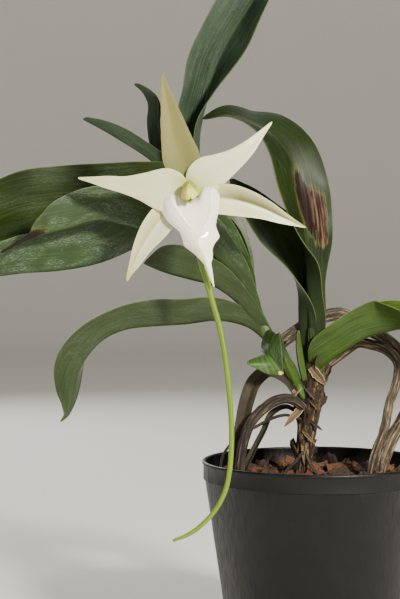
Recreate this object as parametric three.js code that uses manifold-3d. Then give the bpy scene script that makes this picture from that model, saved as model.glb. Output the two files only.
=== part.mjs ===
import * as THREE from 'three';
import { mergeVertices } from 'three/addons/utils/BufferGeometryUtils.js';
import Module from 'manifold-3d';

// Darwin's orchid, Angraecum sesquipedale, in flower in a plain nursery pot.
// Millimetres, +Z up, +X to the viewer's right, +Y away from the viewer. The origin is the centre of the pot's base.

// Pot
const POT_RIM_DIAMETER = 210;
const POT_BASE_DIAMETER = 154;
const POT_HEIGHT = 190;
const POT_WALL = 1.7;
const POT_FLOOR = 2.4;
const RIM_BAND_HEIGHT = 17;
const RIM_BAND_STEP = 1.6;
const RIM_LIP_WIDTH = 3.6;
const RIM_LIP_HEIGHT = 3;
const DRAIN_HOLE_COUNT = 8;
const DRAIN_HOLE_DIAMETER = 12;
const DRAIN_RING_DIAMETER = 112;

// Bark medium
const MEDIUM_DEPTH_BELOW_RIM = 19;
const CHIP_COUNT = 38;
const CHIP_LENGTH = 21;
const CHIP_RING_RADII = [22, 44, 64, 82];

// Plant
const FIT_GAP = 0.3;
const LEAF_THICKNESS = 1.5;
const TEPAL_THICKNESS = 1.2;
const LIP_THICKNESS = 1.3;
const DEAD_LEAF_THICKNESS = 1.1;
const MARGIN_THINNING = 0.4;
const FLAKE_THICKNESS = 0.8;

// A route with more stations than this is smooth enough without points between them.
const DENSE_ROUTE = 12;

// The view that the routes are read in: a 100 mm lens in front of the pot, tipped down a little.
const VIEW_CENTRE = { column: 200, row: 299.5 };
const VIEW_FOCAL_LENGTH = 1664;
const VIEW_EYE = { x: -107, y: -1519, z: 383 };
const VIEW_TIP_DOWN = THREE.MathUtils.degToRad(1.74);

// Blade stations: photo column, photo row, depth, half width, roll and fold in degrees.
// A fold near 80 is a leaf closed like a book along its midrib, and 0 is a flat one.
const LEAVES = {
  leaf_scarred: [
    [311, 356, 4, 9, 85, 78], [309, 322, 4, 16, 85, 75], [307, 290, 2, 19, 75, 68], [306, 262, 0, 22, 62, 55],
    [304.5, 240, -2, 26, 45, 40], [302, 215, -3, 29, 36, 28], [297, 185, -3, 30, 32, 22],
    [288, 155, 0, 29, 36, 20], [270, 134, 4, 27, 52, 20], [248, 123, 6, 21, 66, 22],
    [228, 116, 8, 14, 62, 25], [203, 119, 9, 2, 50, 25],
  ],
  leaf_right: [
    [318, 371, 0, 12, -100, 76], [328, 362, -6, 24, -100, 74], [345, 350, -12, 28, -100, 70],
    [365, 338, -18, 29, -102, 67], [385, 332, -22, 33, -98, 62], [404, 329, -25, 31, -80, 44],
    [424, 343, -28, 24, -62, 28], [436, 366, -30, 15, -60, 22], [441, 384, -31, 6, -60, 20],
  ],
  leaf_shaded: [
    [301, 374, 8, 9, 85, 78], [299.5, 342, 10, 15, 85, 74], [299, 312, 12, 19, 70, 65],
    [298, 288, 16, 22, 50, 45], [291, 262, 22, 25, 38, 30], [278, 238, 28, 25, 30, 24],
    [261, 217, 32, 20, 28, 22], [246, 198, 36, 13, 25, 22], [230, 179, 39, 2, 20, 20],
  ],
  leaf_sheath: [
    [307, 380, -3, 5, -80, 70], [303, 357, -9, 6, -85, 65], [300.5, 342, -11, 5, -85, 60],
    [299, 330, -12, 2.5, -85, 55],
  ],
  leaf_arching: [
    [266, 341, -6, 8, 95, 76], [250, 328, -12, 14, 98, 70], [224, 320.5, -20, 20, 102, 62],
    [182, 324, -32, 25, 105, 56], [150, 326, -38, 25, 106, 55], [126, 329, -42, 24, 108, 54],
    [106, 337.5, -45, 23, 112, 50], [90, 352, -47, 23, 122, 44], [78, 370, -48, 22, 135, 38],
    [72, 391, -48, 15, 143, 34], [69.5, 406, -48, 7.5, 145, 32], [66.5, 415.5, -49, 3, 140, 26],
    [60.5, 422, -51, 0.8, 135, 20],
  ],
  leaf_brown_tip: [
    [256, 320, -10, 7, 92, 76], [247, 304, -17, 13, 95, 72], [233, 284, -25, 20, 98, 68],
    [217, 262, -34, 24, 100, 68], [200, 238, -46, 26, 100, 70], [178, 226, -56, 28, 102, 72],
    [152, 230, -62, 30, 104, 72], [128, 225, -65, 31, 104, 72], [100, 220, -67, 32, 104, 72],
    [74, 227, -69, 30, 104, 70], [52, 232, -71, 22, 105, 64], [38, 235, -72, 12, 108, 56],
    [30, 238, -73, 4.5, 108, 45], [16, 245, -76, 2.6, 108, 40], [1, 253, -80, 1.6, 108, 35],
  ],
  leaf_lower: [
    [251, 308, -8, 7, 92, 76], [243, 292, -13, 14, 94, 74], [230, 264, -18, 20, 96, 72],
    [212, 238, -22, 25, 98, 72], [190, 224, -27, 30, 100, 72], [166, 230, -31, 34, 100, 72],
    [148, 241, -33, 36, 100, 72], [130, 250, -35, 38, 100, 72], [101, 262, -37, 39, 100, 72],
    [60, 270, -39, 38, 101, 70], [20, 273, -41, 34, 102, 66], [-15, 279, -43, 26, 103, 60],
    [-40, 290, -44, 14, 104, 54], [-52, 297, -44, 5, 104, 50],
  ],
  leaf_middle: [
    [262, 331, -9, 8, 95, 76], [250, 316, -16, 12, 98, 70], [232, 298, -24, 16, 100, 64],
    [212, 285, -32, 22, 103, 60], [190, 279, -38, 28, 103, 58], [165, 272, -41, 28, 103, 56],
    [152, 267, -40, 20, 100, 54], [144, 263, -38, 8, 100, 50],
  ],
  leaf_tall: [
    [264, 318, 2, 7, -85, 76], [257, 296, 6, 12, -85, 72], [250, 268, 12, 17, -82, 68],
    [247, 243, 18, 20, -78, 64], [236, 220, 24, 22, -72, 62], [216, 197, 28, 23, -65, 62],
    [202, 172, 29, 24, -55, 62], [199, 145, 27, 23, -45, 60], [202, 118, 22, 25, -40, 58],
    [208, 95, 18, 27, -30, 54], [216, 66, 14, 30, -18, 44], [230, 37, 10, 30, -14, 37],
    [252, 2, 6, 28, -25, 36], [268, -28, 3, 19, -25, 34], [279, -55, 1, 7, -25, 32],
  ],
  leaf_broad: [
    [247, 297, -3, 7, 90, 76], [240, 272, -2, 14, 80, 70], [228, 235, -2, 20, 70, 60],
    [205, 208, 0, 26, 55, 45], [175, 196, 5, 30, 40, 35], [140, 198, 9, 34, 30, 28],
    [100, 202, 12, 36, 25, 24], [60, 205, 12, 37, 22, 22], [20, 211, 10, 35, 22, 22],
    [-15, 226, 8, 28, 25, 22], [-42, 245, 6, 15, 25, 20], [-54, 255, 5, 5, 25, 20],
  ],
  leaf_back_low: [
    [242, 276, 12, 7, 90, 76], [228, 246, 24, 12, 92, 72], [200, 208, 40, 13, 95, 68],
    [172, 180, 50, 13.5, 98, 66], [148, 158, 53, 13.5, 100, 64], [122, 141, 55, 13, 100, 62],
    [100, 128, 56, 9, 100, 58], [83, 119, 57, 3, 100, 50],
  ],
  leaf_back_high: [
    [240, 268, 20, 7, 85, 76], [220, 236, 40, 12, 85, 70], [190, 204, 58, 13, 85, 66],
    [163, 176, 66, 14, 85, 62], [151, 148, 68, 14, 85, 60], [147.5, 122, 68, 14, 85, 60],
    [148, 102, 67, 12, 85, 58], [142, 91, 66, 7, 85, 54], [134, 84, 65, 2.5, 85, 50],
  ],
};

// Two short leaves at the foot of the side shoot that bend too sharply for an even fold. Each row gives the
// left margin, the midrib and the right margin, as photo column, photo row and depth in mm.
const EDGED_LEAVES = {
  leaf_short: [
    [[298, 378, 1], [298, 387, -5], [301, 381, -2]],
    [[291, 363, -3], [290.5, 375, -10], [296, 367, -6]],
    [[283, 349, -8], [283, 361, -12.5], [289.5, 356, -10]],
    [[274.5, 336, -12], [278, 346, -17], [284, 344, -18]],
    [[268.5, 330, -13], [276, 334, -22], [279.5, 332.3, -26]],
    [[263, 338.5, -14], [272, 342, -28], [280.5, 341, -33]],
    [[261, 350, -18], [268, 353, -33], [281.8, 352, -38]],
    [[260.5, 355, -28], [269.3, 356, -35], [282.2, 356.5, -39.5]],
    [[248, 361, -40], [271.5, 359, -37], [282.5, 361, -41]],
    [[258, 369.3, -42], [276.5, 365.5, -40], [283, 367.5, -42]],
    [[270, 374.3, -43], [280.5, 371, -42], [283.3, 371.8, -43]],
    [[281.5, 375, -44], [282.5, 374, -44], [283.5, 373.4, -44]],
  ],
  leaf_base_pale: [
    [[294, 387, -4], [297, 390, -5], [300, 387, -3]],
    [[287, 375, -13], [292.5, 376, -13.5], [298, 376, -9]],
    [[283.6, 368, -16], [289.5, 369, -16.5], [296, 369, -12]],
    [[283.3, 361, -17], [286.5, 362.5, -18], [290.5, 361.5, -15]],
    [[283.5, 356, -18], [284.3, 356, -18.3], [285.2, 356.2, -18]],
  ],
};

const DEAD_LEAVES = {
  leaf_dead: [
    [297, 395, -3, 4, 0, 50], [284, 379, -9, 6, 20, 40], [269, 372, -13, 7, 25, 30],
    [256, 381, -16, 7.5, 22, 25], [248, 399, -17, 7.5, 18, 22], [243, 421, -17, 7, 15, 22],
    [239, 446, -16, 6.5, 15, 25], [236, 470, -15, 6, 15, 28], [235, 486, -15, 5.5, 15, 30],
  ],
  leaf_dead_thin: [
    [300, 414, 0, 2, 0, 50], [286, 407, 2, 3, 20, 45], [273, 413, 3, 3.5, 25, 40],
    [264, 431, 3, 3.5, 22, 40], [255, 448, 3, 3.5, 20, 40], [246, 467, 3, 3.5, 18, 40],
    [240, 486, 3, 3, 18, 40],
  ],
};

const TEPALS = {
  dorsal_sepal: [
    [190, 184, -103, 6, 0, 16], [187, 174, -106, 12.5, 0, 14], [182, 160, -109, 16, 0, 12],
    [176.5, 140, -112, 13.5, 0, 12], [172, 120, -115, 9.8, 0, 12], [167.5, 100, -118, 6, 0, 12],
    [164, 85, -120, 3, 0, 12], [162.5, 74.5, -121, 0.7, 0, 10],
  ],
  petal_left: [
    [187, 191, -107, 7, 0, 10], [178, 190, -109, 15, 0, 8], [168, 190, -110, 18.5, 0, 6],
    [158, 189, -110, 17, 0, 4], [143, 187, -109, 12, 0, 4], [125, 185, -107, 7.5, 0, 6],
    [106, 182, -105, 5.2, 0, 8], [92, 180, -103, 2.8, 0, 10], [78, 178, -101, 0.7, 0, 10],
  ],
  petal_right: [
    [191, 190, -107, 7, 0, 10], [199, 182, -109, 14, 0, 8], [207, 175, -110, 15.5, 0, 6],
    [218, 169, -110, 13, 0, 4], [233, 160, -109, 9.3, 0, 4], [248, 148, -107, 6.3, 0, 6],
    [261, 134, -104, 3, 0, 8], [272, 122, -102, 0.7, 0, 10],
  ],
  lateral_sepal_left: [
    [187, 197, -102, 6, 0, 20], [176, 206, -104, 10, 0, 20], [165, 216, -105, 12.5, 0, 20],
    [154, 229.5, -104, 12, 0, 20], [143, 246, -102, 8.6, 0, 20], [134, 265, -99, 4.6, 0, 20],
    [129, 275, -97, 2, 0, 18], [127, 281.5, -96, 0.6, 0, 15],
  ],
  lateral_sepal_right: [
    [192, 196, -102, 6, 0, 22], [205, 198, -104, 11.4, 0, 28], [217, 199, -105, 14.4, 0, 30],
    [230, 200, -105, 15.2, 0, 31], [246, 203.5, -104, 13.5, 0, 31], [263, 209, -102, 10, 0, 29],
    [284, 218.5, -99, 5.2, 0, 20], [297, 224, -97, 2.3, 0, 18], [306, 227.5, -96, 0.6, 0, 15],
  ],
};

const LIP = [
  [191, 190, -109, 22, 0, -30], [189.7, 197, -113, 28.5, 0, -30], [190, 204, -116, 29, 0, -30],
  [190.8, 212, -118, 27.2, 0, -30], [192.5, 220, -119, 23.5, 0, -30], [196.5, 229, -119.5, 18.5, 0, -28],
  [199.8, 238, -119, 17.5, 0, -24], [200.8, 246, -118, 13, 0, -18], [203, 253, -117, 8.4, 0, -12],
  [205.6, 259, -116, 5.2, 0, 0], [207.5, 265, -114, 3, 0, 10], [209.3, 271, -113, 2, 0, 10],
  [211.3, 278, -111, 1.4, 0, 10], [213.6, 286, -109, 0.6, 0, 10],
];

// Round stations: photo column, photo row, depth and radius.
const STEMS = {
  stem_main: [
    [302, 492, 5, 7], [302, 473, 5, 7], [304, 452, 5, 7.5], [307, 430, 4, 8.5], [310, 410, 4, 9.5],
    [313, 390, 4, 10], [314, 372, 4, 9], [314, 362, 4, 7], [313, 345, 4, 5], [311, 328, 4, 2.5],
  ],
  stem_side: [
    [304, 397, 2, 5], [293, 380, -2, 6], [280, 358, -5, 6], [268, 336, -6, 6], [257, 314, -6, 5.5],
    [248, 292, -4, 5], [241, 270, 0, 3.5],
  ],
};

const ROOTS = {
  root_right_high: [
    [284, 359, 3, 5], [279, 346, 12, 5.6], [290, 336, 18, 6], [312, 322, 26, 6], [340, 314, 28, 6],
    [366, 328, 26, 6], [388, 341, 22, 5.8], [404, 358, 16, 5.6], [412, 385, 12, 5.4],
    [405, 415, 8, 5.6], [391, 440, 4, 6], [380, 470, 2, 6], [376, 490, 1, 5],
  ],
  root_right_low: [
    [318, 372, 12, 3.5], [332, 362, 20, 4], [346, 351, 24, 4.4], [358, 343, 24, 4.6],
    [372, 345, 22, 4.6], [388, 351, 12, 4.4], [398, 363, 2, 4.2], [397, 380, -4, 4],
    [390, 402, -9, 4], [384, 430, -12, 4], [374, 458, -14, 4], [368, 488, -15, 3.6],
  ],
  root_left: [
    [304, 408, -5, 3.6], [290, 399, -12, 4.2], [275, 401, -19, 4.4], [263, 409, -24, 4.4],
    [252, 421, -28, 4.3], [245, 437, -31, 4.2], [241, 455, -33, 4.2], [239, 475, -34, 4.2],
    [238, 490, -34, 3.8],
  ],
  root_thin_left: [
    [303, 452, -5, 1.6], [296, 461, -9, 1.5], [288, 469, -12, 1.4], [281, 479, -14, 1.3], [278, 490, -15, 1.2],
  ],
  root_thin_right: [
    [306, 455, -5, 1.6], [311, 465, -9, 1.5], [317, 475, -12, 1.3], [321, 490, -13, 1.2],
  ],
  root_thin_side: [
    [304, 420, 0, 1.3], [285, 415, -9, 1.4], [255, 427, -14, 1.4], [234, 441, -17, 1.3],
    [224, 453, -18, 1.3], [220, 470, -18, 1.2], [220, 488, -18, 1.1],
  ],
};

// Loose papery scales: photo column, row and depth of the root and of the free tip, then the width.
const SHEATH_SCALES = [
  [304, 405, -5, 284, 427, -11, 9],
  [311, 368, -4, 326, 385, -7, 12],
  [311, 421, -5, 323, 431, -9, 6],
  [303, 431, -4, 315, 444, -8, 3.5],
  [300, 386, -3, 290, 399, -7, 7],
  [310, 401, -6, 321, 412, -8, 3],
  [306, 386, -5, 318, 400, -9, 8],
];

const PEDUNCLE = [
  [247, 290, -8, 3.6], [236, 268, -18, 3.3], [224, 246, -29, 3.1], [213, 226, -43, 3.1],
  [204, 210, -60, 3.2], [197, 199, -78, 3.5], [192, 192, -95, 3.9], [190.5, 190.5, -102, 4],
];

const COLUMN = [
  [190, 190.5, -102, 4.4], [190, 190.5, -108, 4.8], [189.7, 189.5, -114, 5.6], [189.3, 188, -120, 6],
  [189, 188, -124, 5],
];

const SPUR = [
  [192, 207, -107, 4.2], [194, 222, -106, 4], [197, 240, -105, 3.4], [200.5, 258, -104, 3],
  [206, 278, -103, 2.8], [212, 300, -102, 2.5], [219, 325, -101, 2.45], [224, 350, -101, 2.4],
  [227.5, 375, -101, 2.4], [230, 400, -101, 2.35], [231.5, 425, -102, 2.3], [231.3, 450, -103, 2.3],
  [229.4, 472, -105, 2.25], [225.6, 490, -107, 2.2], [218, 506, -109, 2.1], [206, 521, -111, 2],
  [191, 533, -112, 1.85], [173, 541, -113, 1.3],
];

const COLOURS = {
  pot: 0x1b1c1b,
  bark: 0x6a4426,
  stem: 0x7a6443,
  shoot: 0x5f6b34,
  leaf: 0x35502a,
  oldLeaf: 0x8d8164,
  root: 0x8f8773,
  stalk: 0x7d9448,
  tepal: 0xeef0dc,
  lip: 0xf6f6ee,
  column: 0xcfdc8e,
  spur: 0xcbd69a,
};

const wasm = await Module();
wasm.setup();

// Photo column and row at a depth, as a point in the part's frame.
function fromPhoto(column, row, depth) {
  const side = (column - VIEW_CENTRE.column) / VIEW_FOCAL_LENGTH;
  const up = (VIEW_CENTRE.row - row) / VIEW_FOCAL_LENGTH;
  const forward = Math.cos(VIEW_TIP_DOWN) + up * Math.sin(VIEW_TIP_DOWN);
  const reach = (depth - VIEW_EYE.y) / forward;
  const rise = up * Math.cos(VIEW_TIP_DOWN) - Math.sin(VIEW_TIP_DOWN);
  return [VIEW_EYE.x + reach * side, depth, VIEW_EYE.z + reach * rise];
}

function toPartFrame(stations) {
  return stations.map(([column, row, depth, ...sizes]) => [...fromPhoto(column, row, depth), ...sizes]);
}

// Repeatable random numbers from 0 to 1.
function seededRandom(seed) {
  let state = seed;
  return () => {
    state = (state + 0x6d2b79f5) | 0;
    let mixed = Math.imul(state ^ (state >>> 15), 1 | state);
    mixed = (mixed + Math.imul(mixed ^ (mixed >>> 7), 61 | mixed)) ^ mixed;
    return ((mixed ^ (mixed >>> 14)) >>> 0) / 4294967296;
  };
}

// Smooth rows through the stations, `steps` to a span. The curve bends evenly where stations are uneven.
function smoothRows(stations, steps) {
  const count = stations.length;
  const chord = (i) => Math.hypot(...[0, 1, 2].map((k) => stations[i + 1][k] - stations[i][k]));
  const slope = (i, k) => (stations[i + 1][k] - stations[i][k]) / chord(i);
  const tangent = (i, k) => {
    if (i === 0) return slope(0, k);
    if (i === count - 1) return slope(count - 2, k);
    const before = chord(i - 1);
    const after = chord(i);
    return (slope(i - 1, k) * after + slope(i, k) * before) / (before + after);
  };
  const rows = [];
  for (let i = 0; i < count - 1; i += 1) {
    const last = i === count - 2 ? steps : steps - 1;
    for (let j = 0; j <= last; j += 1) {
      const t = j / steps;
      const length = chord(i);
      rows.push(stations[i].map((value, k) => {
        const next = stations[i + 1][k];
        const rise = (3 - 2 * t) * t * t;
        const leave = t * (1 - t) * (1 - t) * length * tangent(i, k);
        const arrive = t * t * (t - 1) * length * tangent(i + 1, k);
        return value + (next - value) * rise + leave + arrive;
      }));
    }
  }
  return rows;
}

function pointOf(row) {
  return new THREE.Vector3(row[0], row[1], row[2]);
}

function headings(points) {
  return points.map((point, i) => {
    const before = points[Math.max(i - 1, 0)];
    const after = points[Math.min(i + 1, points.length - 1)];
    return after.clone().sub(before).normalize();
  });
}

function geometryFrom(points, triangles) {
  const geometry = new THREE.BufferGeometry();
  geometry.setAttribute('position', new THREE.Float32BufferAttribute(points.flatMap((p) => [p.x, p.y, p.z]), 3));
  geometry.setIndex(triangles.flat());
  return geometry;
}

function solidFrom(geometry) {
  geometry.deleteAttribute('normal');
  geometry.deleteAttribute('uv');
  const merged = mergeVertices(geometry, 1e-4);
  const vertProperties = new Float32Array(merged.attributes.position.array);
  const triVerts = new Uint32Array(merged.index.array);
  const solid = new wasm.Manifold(new wasm.Mesh({ numProp: 3, vertProperties, triVerts }));
  if (solid.volume() > 0) return solid;
  const turned = triVerts.map((_, i) => triVerts[i - (i % 3) + [0, 2, 1][i % 3]]);
  return new wasm.Manifold(new wasm.Mesh({ numProp: 3, vertProperties, triVerts: turned }));
}

// A closed skin over rings of equal length, with a fan over each end.
function skin(rings) {
  const size = rings[0].length;
  const points = rings.flat();
  const triangles = [];
  for (let i = 0; i < rings.length - 1; i += 1) {
    for (let j = 0; j < size; j += 1) {
      const a = i * size + j;
      const b = i * size + ((j + 1) % size);
      triangles.push([a, b, a + size], [b, b + size, a + size]);
    }
  }
  const lastRing = (rings.length - 1) * size;
  for (let j = 1; j < size - 1; j += 1) {
    triangles.push([0, j + 1, j], [lastRing, lastRing + j, lastRing + j + 1]);
  }
  return solidFrom(geometryFrom(points, triangles));
}

// A round stem, root or spur. `spread` makes it fatter and longer all round.
function cord(stations, { sides = 8, steps = 1, spread = 0 } = {}) {
  const rows = smoothRows(toPartFrame(stations), steps);
  const points = rows.map(pointOf);
  const tangents = headings(points);
  points[0].addScaledVector(tangents[0], -spread);
  points[points.length - 1].addScaledVector(tangents[tangents.length - 1], spread);
  let side = new THREE.Vector3(0.31, 0.95, 0.07).cross(tangents[0]).normalize();
  const rings = rows.map((row, i) => {
    side = side.clone().addScaledVector(tangents[i], -side.dot(tangents[i])).normalize();
    const up = tangents[i].clone().cross(side);
    return Array.from({ length: sides }, (_, j) => {
      const angle = (2 * Math.PI * j) / sides;
      const radius = (row[3] + spread) / Math.cos(Math.PI / sides);
      const reach = radius * (spread > 0 ? 1 : Math.cos(Math.PI / sides));
      return points[i].clone()
        .addScaledVector(side, reach * Math.cos(angle))
        .addScaledVector(up, reach * Math.sin(angle));
    });
  });
  return skin(rings);
}

// The two directions of a blade at a station: across it, and out of its upper face.
function bladeAxes(tangent, roll) {
  const across = tangent.clone().cross(new THREE.Vector3(0, 1, 0)).normalize();
  const out = tangent.clone().cross(across);
  const turn = THREE.MathUtils.degToRad(roll);
  const side = across.clone().multiplyScalar(Math.cos(turn)).addScaledVector(out, Math.sin(turn));
  const face = out.clone().multiplyScalar(Math.cos(turn)).addScaledVector(across, -Math.sin(turn));
  return { side, face };
}

// A leaf or tepal: two like sheets of triangles joined round the edge.
function blade(stations, { thickness, columns = 4, spread = 0 }) {
  const steps = stations.length > DENSE_ROUTE ? 1 : 2;
  const rows = smoothRows(toPartFrame(stations), steps);
  const points = rows.map(pointOf);
  const tangents = headings(points);
  points[0].addScaledVector(tangents[0], -spread);
  points[points.length - 1].addScaledVector(tangents[tangents.length - 1], spread);
  const rings = rows.map((row, i) => {
    const half = Math.max(row[3], 0.5) + spread;
    const { side, face } = bladeAxes(tangents[i], row[4]);
    const fold = THREE.MathUtils.degToRad(row[5]);
    const upper = [];
    const lower = [];
    for (let j = 0; j <= columns; j += 1) {
      const a = (2 * j) / columns - 1;
      const slope = fold * Math.tanh(4 * a);
      const depth = (thickness * (1 - MARGIN_THINNING * Math.abs(a))) / 2 + spread;
      const normal = face.clone().multiplyScalar(Math.cos(slope)).addScaledVector(side, -Math.sin(slope));
      const middle = points[i].clone()
        .addScaledVector(side, half * a * Math.cos(fold))
        .addScaledVector(face, half * Math.abs(a) * Math.sin(fold));
      upper.push(middle.clone().addScaledVector(normal, depth));
      lower.unshift(middle.clone().addScaledVector(normal, -depth));
    }
    return [...upper, ...lower];
  });
  return stripSkin(rings, columns);
}

// A blade given by rows of its left margin, midrib and right margin.
function edgedBlade(rows, { thickness, spread = 0 }) {
  const stations = rows.map(([left, midrib, right]) => [midrib, left, right].flatMap((spot) => fromPhoto(...spot)));
  const lines = smoothRows(stations, 2).map((row) => {
    const [midrib, left, right] = [0, 3, 6].map((k) => new THREE.Vector3(row[k], row[k + 1], row[k + 2]));
    left.add(left.clone().sub(midrib).setLength(spread));
    right.add(right.clone().sub(midrib).setLength(spread));
    return [left, left.clone().lerp(midrib, 0.5), midrib, midrib.clone().lerp(right, 0.5), right];
  });
  const tangents = headings(lines.map((line) => line[2]));
  lines[0].forEach((point) => point.addScaledVector(tangents[0], -spread));
  lines[lines.length - 1].forEach((point) => point.addScaledVector(tangents[tangents.length - 1], spread));
  const columns = 4;
  const rings = lines.map((line, i) => {
    const before = lines[Math.max(i - 1, 0)];
    const after = lines[Math.min(i + 1, lines.length - 1)];
    const upper = [];
    const lower = [];
    line.forEach((middle, j) => {
      const along = after[j].clone().sub(before[j]);
      const across = line[Math.min(j + 1, columns)].clone().sub(line[Math.max(j - 1, 0)]);
      const normal = along.cross(across).normalize();
      const depth = (thickness * (1 - MARGIN_THINNING * Math.abs(j / 2 - 1))) / 2 + spread;
      upper.push(middle.clone().addScaledVector(normal, depth));
      lower.unshift(middle.clone().addScaledVector(normal, -depth));
    });
    return [...upper, ...lower];
  });
  return stripSkin(rings, columns);
}

// The skin of a blade, whose end rings are closed by a strip instead of a fan.
function stripSkin(rings, columns) {
  const size = rings[0].length;
  const triangles = [];
  for (let i = 0; i < rings.length - 1; i += 1) {
    for (let j = 0; j < size; j += 1) {
      const a = i * size + j;
      const b = i * size + ((j + 1) % size);
      triangles.push([a, b, a + size], [b, b + size, a + size]);
    }
  }
  const lastRing = (rings.length - 1) * size;
  for (let j = 0; j < columns; j += 1) {
    const a = j;
    const b = j + 1;
    const c = size - 1 - j;
    const d = size - 2 - j;
    triangles.push([a, c, b], [b, c, d]);
    triangles.push([lastRing + a, lastRing + b, lastRing + c], [lastRing + b, lastRing + d, lastRing + c]);
  }
  return solidFrom(geometryFrom(rings.flat(), triangles));
}

// A papery flake or bract: a thin curling scale that roots inside the stem and lifts off it.
function flake(base, along, outward, { length, width, lift, spread }) {
  const across = along.clone().cross(outward).normalize();
  const thick = FLAKE_THICKNESS / 2 + spread;
  const rings = [0, 0.5, 1].map((t) => {
    const middle = base.clone()
      .addScaledVector(along, (length + spread) * t)
      .addScaledVector(outward, lift * t * t);
    const half = (width / 2) * (1 - 0.75 * t * t) + spread;
    return [[-1, -1], [1, -1], [1, 1], [-1, 1]].map(([a, b]) => middle.clone()
      .addScaledVector(across, a * half)
      .addScaledVector(outward, b * thick));
  });
  return skin(rings);
}

// The loose scales that stand off the main stem.
function withScales(stem, spread) {
  return SHEATH_SCALES.reduce((joined, [column, row, depth, tipColumn, tipRow, tipDepth, width]) => {
    const base = new THREE.Vector3(...fromPhoto(column, row, depth));
    const along = new THREE.Vector3(...fromPhoto(tipColumn, tipRow, tipDepth)).sub(base);
    const length = along.length();
    along.normalize();
    const outward = new THREE.Vector3(0, -1, 0).addScaledVector(along, along.y).normalize();
    return joined.add(flake(base, along, outward, { length, width, lift: 1.5, spread }));
  }, stem);
}

// Flakes up a stem, turned by the golden angle, each rooted just inside the stem's skin.
function withFlakes(stem, stations, { count, from, to, length, width, lift, seed }, spread = 0) {
  const random = seededRandom(seed);
  const rows = smoothRows(toPartFrame(stations), 4);
  const points = rows.map(pointOf);
  const tangents = headings(points);
  let joined = stem;
  for (let k = 0; k < count; k += 1) {
    const place = Math.round((from + ((to - from) * (k + 0.5)) / count) * (rows.length - 1));
    const tangent = tangents[place];
    const angle = k * 2.4 + random() * 0.5;
    const side = new THREE.Vector3(0, 1, 0).cross(tangent).normalize();
    const front = tangent.clone().cross(side);
    const outward = side.multiplyScalar(Math.cos(angle)).addScaledVector(front, Math.sin(angle));
    const base = points[place].clone().addScaledVector(outward, rows[place][3] * 0.86 - 0.3);
    const scale = 0.75 + 0.5 * random();
    const size = { length: length * scale, width: width * scale, lift: lift * random() + 1.6, spread };
    joined = joined.add(flake(base, tangent, outward, size));
  }
  return joined;
}

function latheSolid(profile, segments) {
  const lathe = new THREE.LatheGeometry(profile.map(([r, z]) => new THREE.Vector2(r, z)), segments);
  lathe.rotateX(Math.PI / 2);
  return solidFrom(lathe);
}

const rimRadius = POT_RIM_DIAMETER / 2;
const baseRadius = POT_BASE_DIAMETER / 2;
const bandBottom = POT_HEIGHT - RIM_BAND_HEIGHT;
const bandRadius = rimRadius - 1;
const wallTopRadius = bandRadius - RIM_BAND_STEP;

// Outer radius of the tapered wall at a height.
function wallRadius(height) {
  return baseRadius + ((wallTopRadius - baseRadius) * height) / bandBottom;
}

function makePot() {
  const lipInner = rimRadius - RIM_LIP_WIDTH;
  const bandInner = bandRadius - POT_WALL;
  const shell = latheSolid([
    [0, 0], [baseRadius - 2, 0], [baseRadius, 2], [wallTopRadius, bandBottom], [bandRadius, bandBottom + 0.8],
    [bandRadius, POT_HEIGHT - RIM_LIP_HEIGHT], [rimRadius, POT_HEIGHT - RIM_LIP_HEIGHT + 0.6],
    [rimRadius, POT_HEIGHT - 0.9], [rimRadius - 0.9, POT_HEIGHT], [lipInner + 0.9, POT_HEIGHT],
    [lipInner, POT_HEIGHT - 0.9], [lipInner + 0.3, POT_HEIGHT - RIM_LIP_HEIGHT], [bandInner, bandBottom + 2],
    [wallRadius(bandBottom) - POT_WALL, bandBottom - 1], [wallRadius(POT_FLOOR) - POT_WALL, POT_FLOOR + 1.5],
    [wallRadius(POT_FLOOR) - POT_WALL - 1.5, POT_FLOOR], [0, POT_FLOOR],
  ], 48);
  let pot = shell;
  for (let i = 0; i < DRAIN_HOLE_COUNT; i += 1) {
    const angle = (2 * Math.PI * i) / DRAIN_HOLE_COUNT;
    const hole = new THREE.CylinderGeometry(DRAIN_HOLE_DIAMETER / 2, DRAIN_HOLE_DIAMETER / 2, 8, 10);
    hole.rotateX(Math.PI / 2);
    hole.translate(Math.cos(angle) * DRAIN_RING_DIAMETER / 2, Math.sin(angle) * DRAIN_RING_DIAMETER / 2, 1);
    pot = pot.subtract(solidFrom(hole));
  }
  return pot;
}

// One bark chip: a split wedge with uneven corners.
function barkChip(centre, length, random) {
  const corners = [];
  const turn = new THREE.Euler((random() - 0.5) * 1.5, (random() - 0.5) * 1.5, random() * 2 * Math.PI);
  for (const x of [-1, 1]) {
    for (const [y, z] of [[-1, -1], [1, -1], [1, 1], [-1, 1]]) {
      corners.push(new THREE.Vector3(
        x * length * (0.36 + 0.14 * random()),
        y * length * (0.2 + 0.12 * random()),
        z * length * (0.13 + 0.08 * random()),
      ).applyEuler(turn).add(centre));
    }
  }
  return skin([corners.slice(0, 4), corners.slice(4)]);
}

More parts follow.
